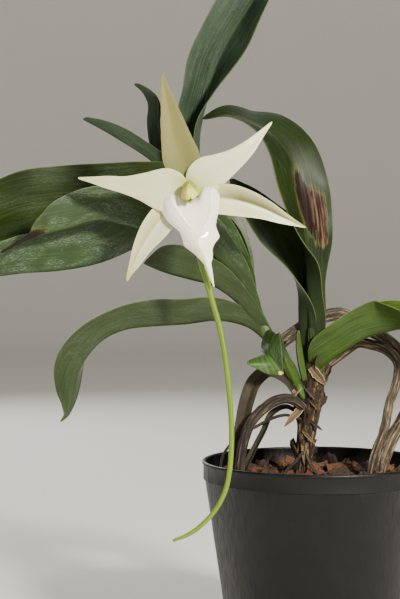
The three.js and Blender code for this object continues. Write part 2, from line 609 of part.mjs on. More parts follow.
// The bark fills the pot, and whole chips stand out of its surface.
function makeMedium() {
  const random = seededRandom(11);
  const surface = POT_HEIGHT - MEDIUM_DEPTH_BELOW_RIM;
  const top = wallRadius(surface) - POT_WALL - FIT_GAP;
  const bottom = wallRadius(POT_FLOOR + 2) - POT_WALL - FIT_GAP;
  let medium = latheSolid([
    [0, POT_FLOOR + FIT_GAP], [bottom - 2.4, POT_FLOOR + FIT_GAP], [bottom, POT_FLOOR + 3],
    [top, surface], [top - 3, surface + 1.5], [0, surface + 3],
  ], 36);
  for (let i = 0; i < CHIP_COUNT; i += 1) {
    const ring = CHIP_RING_RADII[Math.floor(Math.sqrt(i / CHIP_COUNT) * CHIP_RING_RADII.length)];
    const angle = i * 2.4 + random() * 0.5;
    const reach = ring + (random() - 0.5) * 8;
    const height = surface + 1.5 + random() * 4;
    const centre = new THREE.Vector3(Math.cos(angle) * reach, Math.sin(angle) * reach, height);
    medium = medium.add(barkChip(centre, CHIP_LENGTH * (0.8 + 0.4 * random()), random));
  }
  return medium;
}

// The anther cap: a small round lid on the column's front end.
function makeAntherCap() {
  const cap = new THREE.SphereGeometry(1, 10, 8);
  cap.scale(6.2, 3.4, 5.6);
  const [x, y, z] = fromPhoto(189.3, 191, -127.8);
  cap.translate(x, y, z);
  return solidFrom(cap);
}

const group = new THREE.Group();
const made = [];

function meets(a, b) {
  const first = a.boundingBox();
  const second = b.boundingBox();
  return [0, 1, 2].every((k) => first.min[k] < second.max[k] && second.min[k] < first.max[k]);
}

function largestBody(solid) {
  return solid.decompose().reduce((best, body) => (body.volume() > best.volume() ? body : best));
}

// Adds a piece, cut back to a small fit gap from each piece that was placed before it.
function place(name, solid, wider, colour, roughness) {
  let fitted = solid;
  for (const earlier of made) {
    if (meets(fitted, earlier)) fitted = fitted.subtract(earlier);
  }
  fitted = largestBody(fitted);
  if (wider) made.push(wider);
  const { vertProperties, triVerts } = fitted.getMesh();
  const geometry = new THREE.BufferGeometry();
  geometry.setAttribute('position', new THREE.Float32BufferAttribute(vertProperties, 3));
  geometry.setIndex(Array.from(triVerts));
  geometry.computeVertexNormals();
  const mesh = new THREE.Mesh(geometry, new THREE.MeshStandardMaterial({ color: colour, roughness, metalness: 0 }));
  mesh.name = name;
  group.add(mesh);
}

function placeCord(name, stations, colour, options = {}) {
  place(name, cord(stations, options), cord(stations, { ...options, spread: FIT_GAP }), colour, 0.7);
}

function placeBlade(name, stations, thickness, colour) {
  const wider = blade(stations, { thickness, spread: FIT_GAP });
  place(name, blade(stations, { thickness }), wider, colour, 0.5);
}

place('pot', makePot(), null, COLOURS.pot, 0.45);

// The old stem with its rows of papery sheath remains.
function makeMainStem(spread) {
  const stem = cord(STEMS.stem_main, { sides: 12, steps: 1, spread });
  const rows = { count: 12, from: 0.12, to: 0.62, length: 18, width: 10, lift: 2.5, seed: 3 };
  return withScales(withFlakes(stem, STEMS.stem_main, rows, spread), spread);
}

place('stem_main', makeMainStem(0), makeMainStem(FIT_GAP), COLOURS.stem, 0.85);
placeCord('stem_side', STEMS.stem_side, COLOURS.shoot, { sides: 10, steps: 2 });
placeCord('flower_column', COLUMN, COLOURS.column, { sides: 10 });
placeCord('flower_stalk', PEDUNCLE, COLOURS.stalk, { sides: 8, steps: 2 });
place('anther_cap', makeAntherCap(), null, COLOURS.lip, 0.4);

placeBlade('lip', LIP, LIP_THICKNESS, COLOURS.lip);
placeCord('spur', SPUR, COLOURS.spur, { sides: 8 });
for (const [name, stations] of Object.entries(TEPALS)) {
  placeBlade(name, stations, TEPAL_THICKNESS, COLOURS.tepal);
}
for (const [name, rows] of Object.entries(EDGED_LEAVES)) {
  const wider = edgedBlade(rows, { thickness: LEAF_THICKNESS, spread: FIT_GAP });
  place(name, edgedBlade(rows, { thickness: LEAF_THICKNESS }), wider, COLOURS.leaf, 0.5);
}
for (const [name, stations] of Object.entries(LEAVES)) {
  placeBlade(name, stations, LEAF_THICKNESS, COLOURS.leaf);
}
for (const [name, stations] of Object.entries(ROOTS)) {
  placeCord(name, stations, COLOURS.root, { sides: 8 });
}
for (const [name, stations] of Object.entries(DEAD_LEAVES)) {
  placeBlade(name, stations, DEAD_LEAF_THICKNESS, COLOURS.oldLeaf);
}
place('bark_medium', makeMedium(), null, COLOURS.bark, 0.9);

export default group;
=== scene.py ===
# %% [markdown]
# # Comet orchid in a pot
# Angraecum sesquipedale grows on tree trunks in Madagascar. Its waxy white star carries a nectar spur as long
# as a forearm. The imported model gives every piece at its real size. This lesson gives those pieces their
# living surface: veined leaves, waxy tepals, papery sheaths, fibrous roots and split bark.

# %% Load the frame
import math

import bmesh
import bpy
import numpy as np
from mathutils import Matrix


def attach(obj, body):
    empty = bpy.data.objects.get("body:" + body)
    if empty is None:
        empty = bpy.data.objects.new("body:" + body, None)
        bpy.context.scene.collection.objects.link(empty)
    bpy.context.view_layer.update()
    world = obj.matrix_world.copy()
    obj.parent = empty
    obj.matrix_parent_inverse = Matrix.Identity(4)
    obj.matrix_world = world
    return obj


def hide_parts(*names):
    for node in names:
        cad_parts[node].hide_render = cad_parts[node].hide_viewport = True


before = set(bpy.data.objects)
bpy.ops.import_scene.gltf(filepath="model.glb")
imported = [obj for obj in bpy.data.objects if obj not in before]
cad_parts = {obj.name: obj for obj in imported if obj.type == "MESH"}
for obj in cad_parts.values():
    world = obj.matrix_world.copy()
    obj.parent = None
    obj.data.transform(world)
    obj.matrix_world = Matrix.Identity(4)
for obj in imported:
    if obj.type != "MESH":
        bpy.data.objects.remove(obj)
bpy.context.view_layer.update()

MM = 0.001
print("nodes in the frame:", len(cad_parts))

# %% [markdown]
# ## Two small helpers
# Colours are picked as sRGB hex values, as on a paint chart, but shaders add up light, so each value is
# turned linear once. Every node tree below is built by the same one function: it adds a node, sets its
# options and feeds its sockets with a value or with what another node gives.

# %% Colour and node helpers
def linear(hex_colour):
    """sRGB hex to a linear colour with alpha."""
    channels = [int(hex_colour[i:i + 2], 16) / 255 for i in (1, 3, 5)]
    return [c / 12.92 if c < 0.04045 else ((c + 0.055) / 1.055) ** 2.4 for c in channels] + [1.0]


def add_node(tree, kind, settings=None, feeds=None, stops=None):
    """Adds a node. feeds maps a socket's name or number to a value, to an output, or to a node, which then
    feeds it from its first output in use. stops are the places and colours of a colour ramp."""
    node = tree.nodes.new(kind)
    for name, value in (settings or {}).items():
        setattr(node, name, value)
    for key, value in (feeds or {}).items():
        if isinstance(value, bpy.types.Node):
            value = next(output for output in value.outputs if output.enabled)
        if isinstance(value, bpy.types.NodeSocket):
            tree.links.new(value, node.inputs[key])
        else:
            node.inputs[key].default_value = value
    if stops:
        ramp = node.color_ramp.elements
        while len(ramp) < len(stops):
            ramp.new(0.5)
        for element, (position, colour) in zip(ramp, stops):
            element.position = position
            element.color = linear(colour)
    return node


print("mid grey turns linear as", round(linear("#808080")[0], 3))

# %% [markdown]
# ## Reading a route from the photograph
# A leaf is long and bends in space, so it is described by stations along its midrib. Each station is read as
# a column and a row of the photograph, and gets a depth that the overlaps and shadows suggest. The same long
# lens that took the picture turns the three numbers into a place in millimetres.

# %% The view and the stations
VIEW_CENTRE = (200, 299.5)
VIEW_FOCAL_LENGTH = 1664
VIEW_EYE_MM = (-107, -1519, 383)
VIEW_TIP_DOWN = math.radians(1.74)


def from_photo(column, row, depth):
    """Photo column and row at a depth in mm, as a point in mm. The three may be arrays."""
    side = (np.asarray(column, float) - VIEW_CENTRE[0]) / VIEW_FOCAL_LENGTH
    up = (VIEW_CENTRE[1] - np.asarray(row, float)) / VIEW_FOCAL_LENGTH
    depth = np.asarray(depth, float)
    reach = (depth - VIEW_EYE_MM[1]) / (math.cos(VIEW_TIP_DOWN) + up * math.sin(VIEW_TIP_DOWN))
    rise = up * math.cos(VIEW_TIP_DOWN) - math.sin(VIEW_TIP_DOWN)
    return np.stack([VIEW_EYE_MM[0] + reach * side, depth + 0 * side, VIEW_EYE_MM[2] + reach * rise], -1)


def smooth(rows, steps):
    """Even curves through rows of values whose first three are a place in mm."""
    chords = np.linalg.norm(np.diff(rows[:, :3], axis=0), axis=1)[:, None]
    slopes = np.diff(rows, axis=0) / chords
    inner = (slopes[:-1] * chords[1:] + slopes[1:] * chords[:-1]) / (chords[:-1] + chords[1:])
    tangents = np.vstack([slopes[:1], inner, slopes[-1:]])
    t = (np.arange(steps) / steps)[None, :, None]
    start, end, chord = rows[:-1, None], rows[1:, None], chords[:, None]
    curve = start + (end - start) * (3 - 2 * t) * t * t
    curve = curve + t * (1 - t) ** 2 * chord * tangents[:-1, None]
    curve = curve + t * t * (t - 1) * chord * tangents[1:, None]
    return np.vstack([curve.reshape(-1, rows.shape[1]), rows[-1:]])


def smooth_rows(stations, steps):
    """Smooth rows from stations: column, row and depth, then the sizes."""
    stations = np.array(stations, float)
    return smooth(np.hstack([from_photo(*stations[:, :3].T), stations[:, 3:]]), steps)


def unit(vectors):
    """Vectors of length 1."""
    return vectors / np.maximum(np.linalg.norm(vectors, axis=-1, keepdims=True), 1e-9)


print("the rim's centre reads as", from_photo(317, 460, 0).round(1), "mm")

# %% [markdown]
# ## From a grid of points to a solid leaf
# A leaf is a thin sheet with two faces. A plane with a Solidify modifier would do, but an own grid knows how
# far along the leaf and how far from the midrib each point is, and the materials need just that for their
# veins. So meshes are made straight from points, and each keeps such values by name. A closed mesh is turned
# right side out by the sign of its volume, and points that fall together at a pole or a cut are welded, so no
# sliver is left.

# %% Mesh from points
def make_object(name, points_mm, faces, values=None, uv_mm=None):
    """A smooth-shaded mesh object with named point values and, where given, a UV map in metres."""
    mesh = bpy.data.meshes.new(name)
    mesh.from_pydata((np.asarray(points_mm) * MM).tolist(), [], faces)
    for key, value in (values or {}).items():
        kept = mesh.attributes.new(key, "FLOAT", "POINT")
        kept.data.foreach_set("value", np.ravel(value).astype(np.float32))
    if uv_mm is not None:
        corners = np.empty(len(mesh.loops), np.int32)
        mesh.loops.foreach_get("vertex_index", corners)
        layer = mesh.uv_layers.new(name="blade")
        layer.data.foreach_set("uv", (np.asarray(uv_mm)[corners] * MM).astype(np.float32).ravel())
    mesh.shade_smooth()
    obj = bpy.data.objects.new(name, mesh)
    bpy.context.collection.objects.link(obj)
    return obj


def face_outwards(obj):
    """Turns a closed mesh right side out if its signed volume is negative."""
    mesh = obj.data
    mesh.calc_loop_triangles()
    places = np.array([v.co[:] for v in mesh.vertices])
    corners = np.array([t.vertices[:] for t in mesh.loop_triangles])
    a, b, c = places[corners[:, 0]], places[corners[:, 1]], places[corners[:, 2]]
    if np.einsum("ij,ij->i", a, np.cross(b, c)).sum() < 0:
        mesh.flip_normals()


def weld(obj, distance_mm):
    """Merges points closer together than the distance, so that no sliver is left at a pole or a cut."""
    welded = bmesh.new()
    welded.from_mesh(obj.data)
    bmesh.ops.remove_doubles(welded, verts=welded.verts, dist=distance_mm * MM)
    bmesh.ops.dissolve_degenerate(welded, edges=welded.edges, dist=distance_mm * MM)
    welded.to_mesh(obj.data)
    welded.free()


print("meshes are drawn in millimetres and stored in metres, at a scale of", MM)

# %% [markdown]
# The sheet gets its thickness along its own normals, thicker on the midrib than at the margins, and a rim
# closes it all round. Each point also keeps which side it is on, because the underside of a leaf is duller.

# %% Sheet
def sheet(name, grid, thickness, values, uv_mm):
    """Closes a grid of middle points, rows along and columns across, into a thin solid."""
    rows, columns = grid.shape[:2]
    layer = rows * columns
    normals = unit(np.cross(np.gradient(grid, axis=0), np.gradient(grid, axis=1)))
    half = normals * np.broadcast_to(thickness, (rows, columns))[..., None] / 2
    points = np.concatenate([(grid + half).reshape(-1, 3), (grid - half).reshape(-1, 3)])
    index = np.arange(layer).reshape(rows, columns)
    quads = np.stack([index[:-1, :-1], index[1:, :-1], index[1:, 1:], index[:-1, 1:]], -1).reshape(-1, 4)
    rim = np.concatenate([index[:-1, 0], index[-1, :-1], index[:0:-1, -1], index[0, :0:-1]])
    following = np.roll(rim, -1)
    rim_quads = np.stack([rim, rim + layer, following + layer, following], -1)
    faces = np.concatenate([quads, quads[:, ::-1] + layer, rim_quads])
    both = {key: np.tile(np.ravel(value), 2) for key, value in values.items()}
    both["under"] = np.repeat([0.0, 1.0], layer)
    obj = make_object(name, points, faces.tolist(), both, np.tile(uv_mm.reshape(-1, 2), (2, 1)))
    face_outwards(obj)
    print(f"{name}: {rows} by {columns} grid, {len(faces)} faces, {len(points)} points")
    return obj


print("a sheet is a grid on both of its sides, joined by a rim")

# %% [markdown]
# A blade is a sheet that follows its midrib. At each station it has a half width, a roll about the midrib and
# a fold along it, like a book that is half open. Its margins are waved by a few sine waves with a seeded
# start, because a leaf's edge grows a little faster than its middle, and its tip is rounded off.

# %% Blade
# Extra rows between the last two, so that the tip is round.
TIP_SHARES = [[0.4], [0.65], [0.82], [0.93]]
LEAST_TIP_MM = 1.8
LEAST_HALF_MM = 0.12
WAVE_SPANS_MM = (9.0, 14.0, 23.0)
FULL_WAVE_HALF_MM = 20
TEAR_SPANS_MM = (0.9, 1.7, 3.1)
# Where the margin's curl begins, from 0 on the midrib to 1 at the margin.
CURL_FROM = 0.6
MARGIN_THINNING = 0.45
FULL_HALF_MM = 3
LEAST_THICKNESS_SHARE = 0.4


def keel(a, roundness):
    """Height of a folded section: a V whose bottom is rounded, from 0 at the midrib to 1 at the margins."""
    return (np.sqrt(a * a + roundness ** 2) - roundness) / (math.hypot(1, roundness) - roundness)


def run_length(points):
    """Length along a line of points up to each of them."""
    return np.concatenate([[0], np.cumsum(np.linalg.norm(np.diff(points, axis=0), axis=1))])


def thinned(thickness, a, half):
    """Thickness of a blade: full on the midrib, less at the margins and where it is narrow."""
    where_narrow = np.clip(half / FULL_HALF_MM, LEAST_THICKNESS_SHARE, 1)
    return thickness * (1 - MARGIN_THINNING * np.abs(a) ** 2) * where_narrow


def margin_waves(length, a, spans, random):
    """A wave of each span along the blade, which starts elsewhere on the left and on the right margin."""
    return [np.sin(length / span + random.uniform(0, 6.3) + np.sign(a) * random.uniform(0, 3))
            for span in spans]


def blade(name, stations, thickness, steps=9, columns=26, wave=0.0, curl=0.0, round_keel=0.1, seed=1,
          patch=None, rot=None, torn=0.0):
    """A leaf or tepal from its stations. wave is in mm, and curl and torn are shares of the half width: how
    far the margins curl back and are torn in. patch and rot give each point its share of dead and of rotten
    tissue."""
    rows = smooth_rows(stations, steps)
    last = rows[-2] + (rows[-1] - rows[-2]) * np.array(TIP_SHARES)
    rows = np.vstack([rows[:-1], last, rows[-1:]])
    to_end = np.linalg.norm(rows[-1, :3] - rows[:, :3], axis=1) / max(LEAST_TIP_MM, 1.4 * rows[-1, 3])
    round_tip = np.sqrt(1 - np.clip(1 - to_end, 0, 1) ** 2)
    middle, half = rows[:, :3], np.maximum(rows[:, 3] * round_tip, LEAST_HALF_MM)[:, None, None]
    roll, fold = np.radians(rows[:, 4])[:, None], np.radians(rows[:, 5])[:, None, None]
    heading = unit(np.gradient(middle, axis=0))
    across = unit(np.cross(heading, [0, 1, 0]))
    out = np.cross(heading, across)
    side = (across * np.cos(roll) + out * np.sin(roll))[:, None]
    face = (out * np.cos(roll) - across * np.sin(roll))[:, None]
    a = np.sin(np.linspace(-1, 1, columns + 1) * math.pi / 2)[None, :, None]
    length = run_length(middle)[:, None, None]
    # The margins' waves, their curl back, and the notches of a torn one.
    random = np.random.default_rng(seed)
    ripple = sum(margin_waves(length, a, WAVE_SPANS_MM, random)) / len(WAVE_SPANS_MM)
    waved = wave * ripple * a * a * np.minimum(half / FULL_WAVE_HALF_MM, 1)
    curled = curl * half * np.maximum(np.abs(a) - CURL_FROM, 0) ** 2
    notches = sum(map(np.abs, margin_waves(length, a, TEAR_SPANS_MM, random))) / len(TEAR_SPANS_MM)
    half = half * (1 - torn * notches)
    rise = half * keel(a, round_keel) * np.sin(fold)
    grid = middle[:, None] + side * half * a * np.cos(fold) + face * (rise + (waved - curled))
    values = {"across": (a + 0 * half)[..., 0], "along": (length / length[-1] + 0 * a)[..., 0]}
    values["patch"] = patch(grid) if patch else 0 * values["along"]
    values["rot"] = rot(grid) if rot else 0 * values["along"]
    uv = np.concatenate([length + 0 * a, half * a], -1)
    return sheet(name, grid, thinned(thickness, a[..., 0], half[..., 0]), values, uv)


print("a blade's margins wave over", WAVE_SPANS_MM, "mm")

# %% [markdown]
# Two leaves bend so sharply that an even fold can't follow them. Their two margins and their midrib are read
# from the photograph as three lines, and the sheet is spanned between them.

# %% Edged blade
def edged_blade(name, lines, thickness, steps=10, columns=36, round_keel=0.12, patch=None):
    """A leaf from rows of its left margin, midrib and right margin."""
    lines = np.array(lines, float)
    rows = smooth(np.hstack([from_photo(*lines[:, k].T) for k in (1, 0, 2)]), steps)
    midrib, left, right = rows[:, None, :3], rows[:, None, 3:6], rows[:, None, 6:]
    a = np.linspace(-1, 1, columns + 1)[None, :, None]
    grid = midrib + (left + right - 2 * midrib) / 2 * keel(a, round_keel) + (right - left) / 2 * a
    length = run_length(rows[:, :3])[:, None]
    half = np.linalg.norm(right - left, axis=-1) / 2
    values = {"across": a[..., 0] + 0 * half, "along": length / length[-1] + 0 * a[..., 0]}
    values["patch"] = patch(grid) if patch else 0 * values["along"]
    values["rot"] = 0 * values["along"]
    uv = np.stack([length + 0 * half * a[..., 0], half * a[..., 0]], -1)
    return sheet(name, grid, thinned(thickness, a[..., 0], half), values, uv)


print("a narrow blade keeps at least", LEAST_THICKNESS_SHARE, "of its thickness")

# %% [markdown]
# A finished piece gets its material and is handed to the frame: it rides on the one body, and stands for the
# solids that it replaces.

# %% Hand a piece over
def finish(piece, material, slot, *nodes):
    """Gives the piece its material, and hands it to the frame in place of its nodes."""
    if material:
        piece.data.materials.clear()
        piece.data.materials.append(material)
    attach(piece, "root")
    if nodes:
        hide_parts(*nodes)


print("nodes to dress:", sorted(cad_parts)[:4], "and so on")

# %% [markdown]
# ## Patterns and tints
# A living surface is a base colour with tints over it, each of which shows only where something holds: on a
# streak, near the midrib, on the underside. So a material here is a list of layers. Each layer has its tint
# and the ramps that say where it shows. A pattern is noise, stretched so that its size is right in the real
# world: it is given in repeats a metre. The same patterns, added up by weight, make the relief of the
# surface.

# %% Patterns and tints
SOFT = "SMOOTHSTEP"
# A Mix node of colours takes its share on socket 0 and its two colours on sockets 6 and 7.
SHARE, UNDER, OVER = 0, 6, 7


def new_finish(name, *values):
    """A blank material and its tree, with what its patterns read: the place on the piece, and by name the map
    of the blade in metres and the piece's own values."""
    material = bpy.data.materials.new(name)
    material.use_nodes = True
    tree = material.node_tree
    tree.nodes.clear()
    read = {"place": add_node(tree, "ShaderNodeTexCoord").outputs["Object"]}
    for value in values:
        if value == "blade":
            read[value] = add_node(tree, "ShaderNodeUVMap", {"uv_map": value}).outputs[0]
        else:
            read[value] = add_node(tree, "ShaderNodeAttribute", {"attribute_name": value}).outputs["Fac"]
    return material, tree, read


def pattern(tree, space, per_metre, detail=3.0, roughness=0.5, distortion=0.0):
    """Noise with so many repeats a metre, one number for all axes or one for each."""
    sized = add_node(tree, "ShaderNodeVectorMath", {"operation": "MULTIPLY"},
                     {0: space, 1: np.ones(3) * per_metre})
    return add_node(tree, "ShaderNodeTexNoise", None,
                    {"Vector": sized, "Scale": 1.0, "Detail": detail, "Roughness": roughness,
                     "Distortion": distortion}).outputs["Fac"]


def shown(tree, *ramps):
    """Multiplies ramps. A ramp is the value that it follows, where it starts and ends, what it gives there,
    which is 0 and 1 if left out, and SOFT if it eases in and out."""
    product = None
    for value, start, end, *ends in ramps:
        least, most, ease = ends + [0.0, 1.0, "LINEAR"][len(ends):]
        ramp = add_node(tree, "ShaderNodeMapRange", {"interpolation_type": ease},
                        {0: value, 1: start, 2: end, 3: least, 4: most})
        product = ramp if product is None else add_node(
            tree, "ShaderNodeMath", {"operation": "MULTIPLY"}, {0: product, 1: ramp})
    return product


def tinted(tree, colour, *layers):
    """Lays tints over a colour in turn. A layer is its tint and the ramps that show it."""
    for tint, *ramps in layers:
        over = linear(tint) if isinstance(tint, str) else tint
        colour = add_node(tree, "ShaderNodeMix", {"data_type": "RGBA"},
                          {SHARE: shown(tree, *ramps), UNDER: colour, OVER: over})
    return colour


def summed(tree, *parts):
    """Adds up values, each times its weight."""
    total = 0.0
    for value, weight in parts:
        total = add_node(tree, "ShaderNodeMath", {"operation": "MULTIPLY_ADD"},
                         {0: value, 1: weight, 2: total})
    return total


def surfaced(tree, colour, relief, strength, relief_mm, feeds):
    """Ends a material with its relief, its shader and the output."""
    bump = add_node(tree, "ShaderNodeBump", None,
                    {"Height": relief, "Strength": strength, "Distance": relief_mm * MM})
    shader = add_node(tree, "ShaderNodeBsdfPrincipled", None, {"Base Color": colour, "Normal": bump, **feeds})
    add_node(tree, "ShaderNodeOutputMaterial", None, {"Surface": shader})


print("socket numbers of a Mix node:", SHARE, UNDER, OVER)

# %% [markdown]
# ## Leaf surface
# The leaves are thick and leathery, with a waxy cuticle: a satin gloss over deep green. Fine streaks run
# along the blade, the midrib and the thin margins are paler, and hard water has dried to a chalky film and
# specks on the leaves below the flower. The pattern follows the blade through its UV map, which holds real
# distances.

# %% Leaf material
STREAK_LENGTH_MM = 70
STREAK_WIDTH_MM = 1.3
CLOUD_MM = 34
# A leaf's real grain and specks are about a quarter of this size, too fine to show, and are drawn coarser.
GRAIN_MM = 1.1
SPECK_MM = 3.04
SCAR_TEAR_MM = 6
# Repeats a metre along, across and out of the blade: smears of chalk are about 31 by 11 mm, the crusts in
# them 2.6 by 1.1 mm, and the fibres of dead tissue 38 by 1.6 mm.
SMEARS_PER_M = (32, 90, 1)
CRUSTS_PER_M = (380, 900, 1)
FIBRES_PER_M = (26, 620, 1)
MARGIN_GREEN = "#5E6C38"
CHALK = "#768478"
SPECK = "#8F987E"
HALO = "#55602A"


def leaf_cuticle(name, deep, light, rib, film=0.0, old=("#120807", "#33201A", "#6E5644"), roughness=0.42,
                 shine=0.2, backs="#36422E", shade_halves=None):
    """Living leaf: cuticle over green tissue. film is how much chalk has dried on it, from 0 to 1. old holds
    the tones of its dead tissue. The tints of the halves are painted shade: of the left half before its bend
    and of the right half."""
    material, tree, read = new_finish(name, "blade", "across", "along", "under", "patch", "rot")
    along_blade, place, across = read["blade"], read["place"], read["across"]
    streak = pattern(tree, along_blade, (1000 / STREAK_LENGTH_MM, 1000 / STREAK_WIDTH_MM, 1), 3.0, 0.6)
    cloud = pattern(tree, place, 1000 / CLOUD_MM, 4.0, 0.55)
    grain = pattern(tree, place, 1000 / GRAIN_MM, 2.0, 0.6)
    smear = pattern(tree, along_blade, SMEARS_PER_M, 6.0, 0.7, 0.8)
    crust = pattern(tree, along_blade, CRUSTS_PER_M, 3.0, 0.6)
    tear = pattern(tree, along_blade, (500 / SCAR_TEAR_MM, 2200 / SCAR_TEAR_MM, 1), 5.0, 0.6)
    fibre = pattern(tree, along_blade, FIBRES_PER_M, 4.0, 0.65)
    specks = add_node(tree, "ShaderNodeTexVoronoi", None, {"Vector": place, "Scale": 1000 / SPECK_MM})
    reach = add_node(tree, "ShaderNodeMath", {"operation": "ABSOLUTE"}, {0: across})
    colour = add_node(tree, "ShaderNodeValToRGB", None, {0: cloud}, [(0.34, deep), (0.7, light)])
    # The tints of the halves are painted shade: dark on the left half before its bend, grey on the right
    # half.
    if shade_halves:
        colour = tinted(tree, colour,
                        (shade_halves[0], (across, 0.03, -0.03), (read["along"], 0.76, 0.8, 0.85, 0.0)),
                        (shade_halves[1], (across, -0.03, 0.03, 0.0, 0.9)))
    chalk = shown(tree, (smear, 0.46, 0.66), (crust, 0.44, 0.64, 0.02, 0.52 * film))
    # Dead tissue: the ellipse's value, torn by noise. Its border is a pale halo, and it rots dark in places.
    ragged = summed(tree, (read["patch"], 1.0), (tear, 0.5), (fibre, 0.7))
    rotten = summed(tree, (read["rot"], 1.0), (fibre, 0.5))
    dead = shown(tree, (ragged, 1.06, 1.12))
    husk = add_node(tree, "ShaderNodeValToRGB", None, {0: fibre},
                    [(0.38, old[0]), (0.5, old[1]), (0.64, old[2])])
    husk = tinted(tree, husk, (old[0], (rotten, 0.68, 0.84, 0.0, 0.9)))
    colour = tinted(tree, colour,
                    (rib, (streak, 0.42, 0.72, 0.0, 0.5)),
                    (rib, (grain, 0.35, 0.7, 0.0, 0.14)),
                    (backs, (read["under"], 0.0, 1.0, 0.0, 0.35)),
                    (rib, (reach, 0.0, 0.055, 0.4, 0.0, SOFT)),
                    (MARGIN_GREEN, (reach, 0.965, 0.995, 0.0, 0.5, SOFT)),
                    (CHALK, (chalk, 0.0, 1.0)),
                    (SPECK, (specks, 0.17, 0.08, 0.0, 0.5 * film), (cloud, 0.5, 0.62)),
                    (HALO, (ragged, 0.95, 1.08, 0.0, 0.4)),
                    (husk, (dead, 0.0, 1.0)))
    matt = add_node(tree, "ShaderNodeMath", {"operation": "MAXIMUM"}, {0: chalk, 1: dead})
    relief = summed(tree, (cloud, 2.0), (streak, 1.0), (grain, 0.25))
    surfaced(tree, colour, relief, 0.35, 0.6,
             {"Roughness": shown(tree, (matt, 0.0, 1.0, roughness, 0.8)), "Specular IOR Level": shine,
              "IOR": 1.45, "Coat Weight": 0.04, "Coat Roughness": 0.3, "Subsurface Weight": 0.04,
              "Subsurface Scale": 0.003})
    return material


print("streaks repeat every", STREAK_WIDTH_MM, "mm across the blade")

# %% [markdown]
# The same cuticle makes seven finishes. Leaves in shade get a dark, dull finish whose darkness is painted
# shade, young ones are bright, the lower ones chalky, and the small folded leaf gets painted shade on two
# halves.

# %% Leaf finishes
# Leaves in shade get this dark, dull finish: its darkness is painted shade.
painted_shade_leaf = leaf_cuticle("leaf_cuticle_painted_shade", "#081003", "#142206", "#2C3C13", film=0.1, shine=0.12,
                         roughness=0.48)
bright_leaf = leaf_cuticle("leaf_cuticle_bright", "#132500", "#294400", "#577410", film=0.1)
olive_leaf = leaf_cuticle("leaf_cuticle_olive", "#0D1803", "#1B2B07", "#3A4B1A", film=0.3)
chalky_leaf = leaf_cuticle("leaf_cuticle_chalky", "#061A00", "#173800", "#365810", film=1.0, shine=0.26)
tipped_leaf = leaf_cuticle("leaf_cuticle_brown_tipped", "#091900", "#173000", "#34520E", film=0.9, shine=0.26,
                           old=("#0C0603", "#261609", "#4E3A22"))
grey_leaf = leaf_cuticle("leaf_cuticle_grey", "#0F1D15", "#223324", "#43553A", film=0.3, roughness=0.5)
# The small folded leaf gets painted shade on its left half before the bend and on its right half.
folded_leaf = leaf_cuticle("leaf_cuticle_folded", "#1A340A", "#2C4E10", "#547430", film=0.0,
                           old=("#6E5830", "#B09A66", "#C8B684"), shade_halves=("#060F04", "#161F1D"))
print("leaf finishes:", [m.name for m in bpy.data.materials if m.name.startswith("leaf_cuticle")])

# %% [markdown]
# ## Leaves
# The leaves stand in two rows and are folded like a book at the base, opening towards the tip. Modelling each
# by hand would take a day. One rule shapes them all: the half width, the roll about the midrib and the fold
# change smoothly from station to station. The stations are the same as those of the solids, so each leaf lies
# exactly where its solid is.

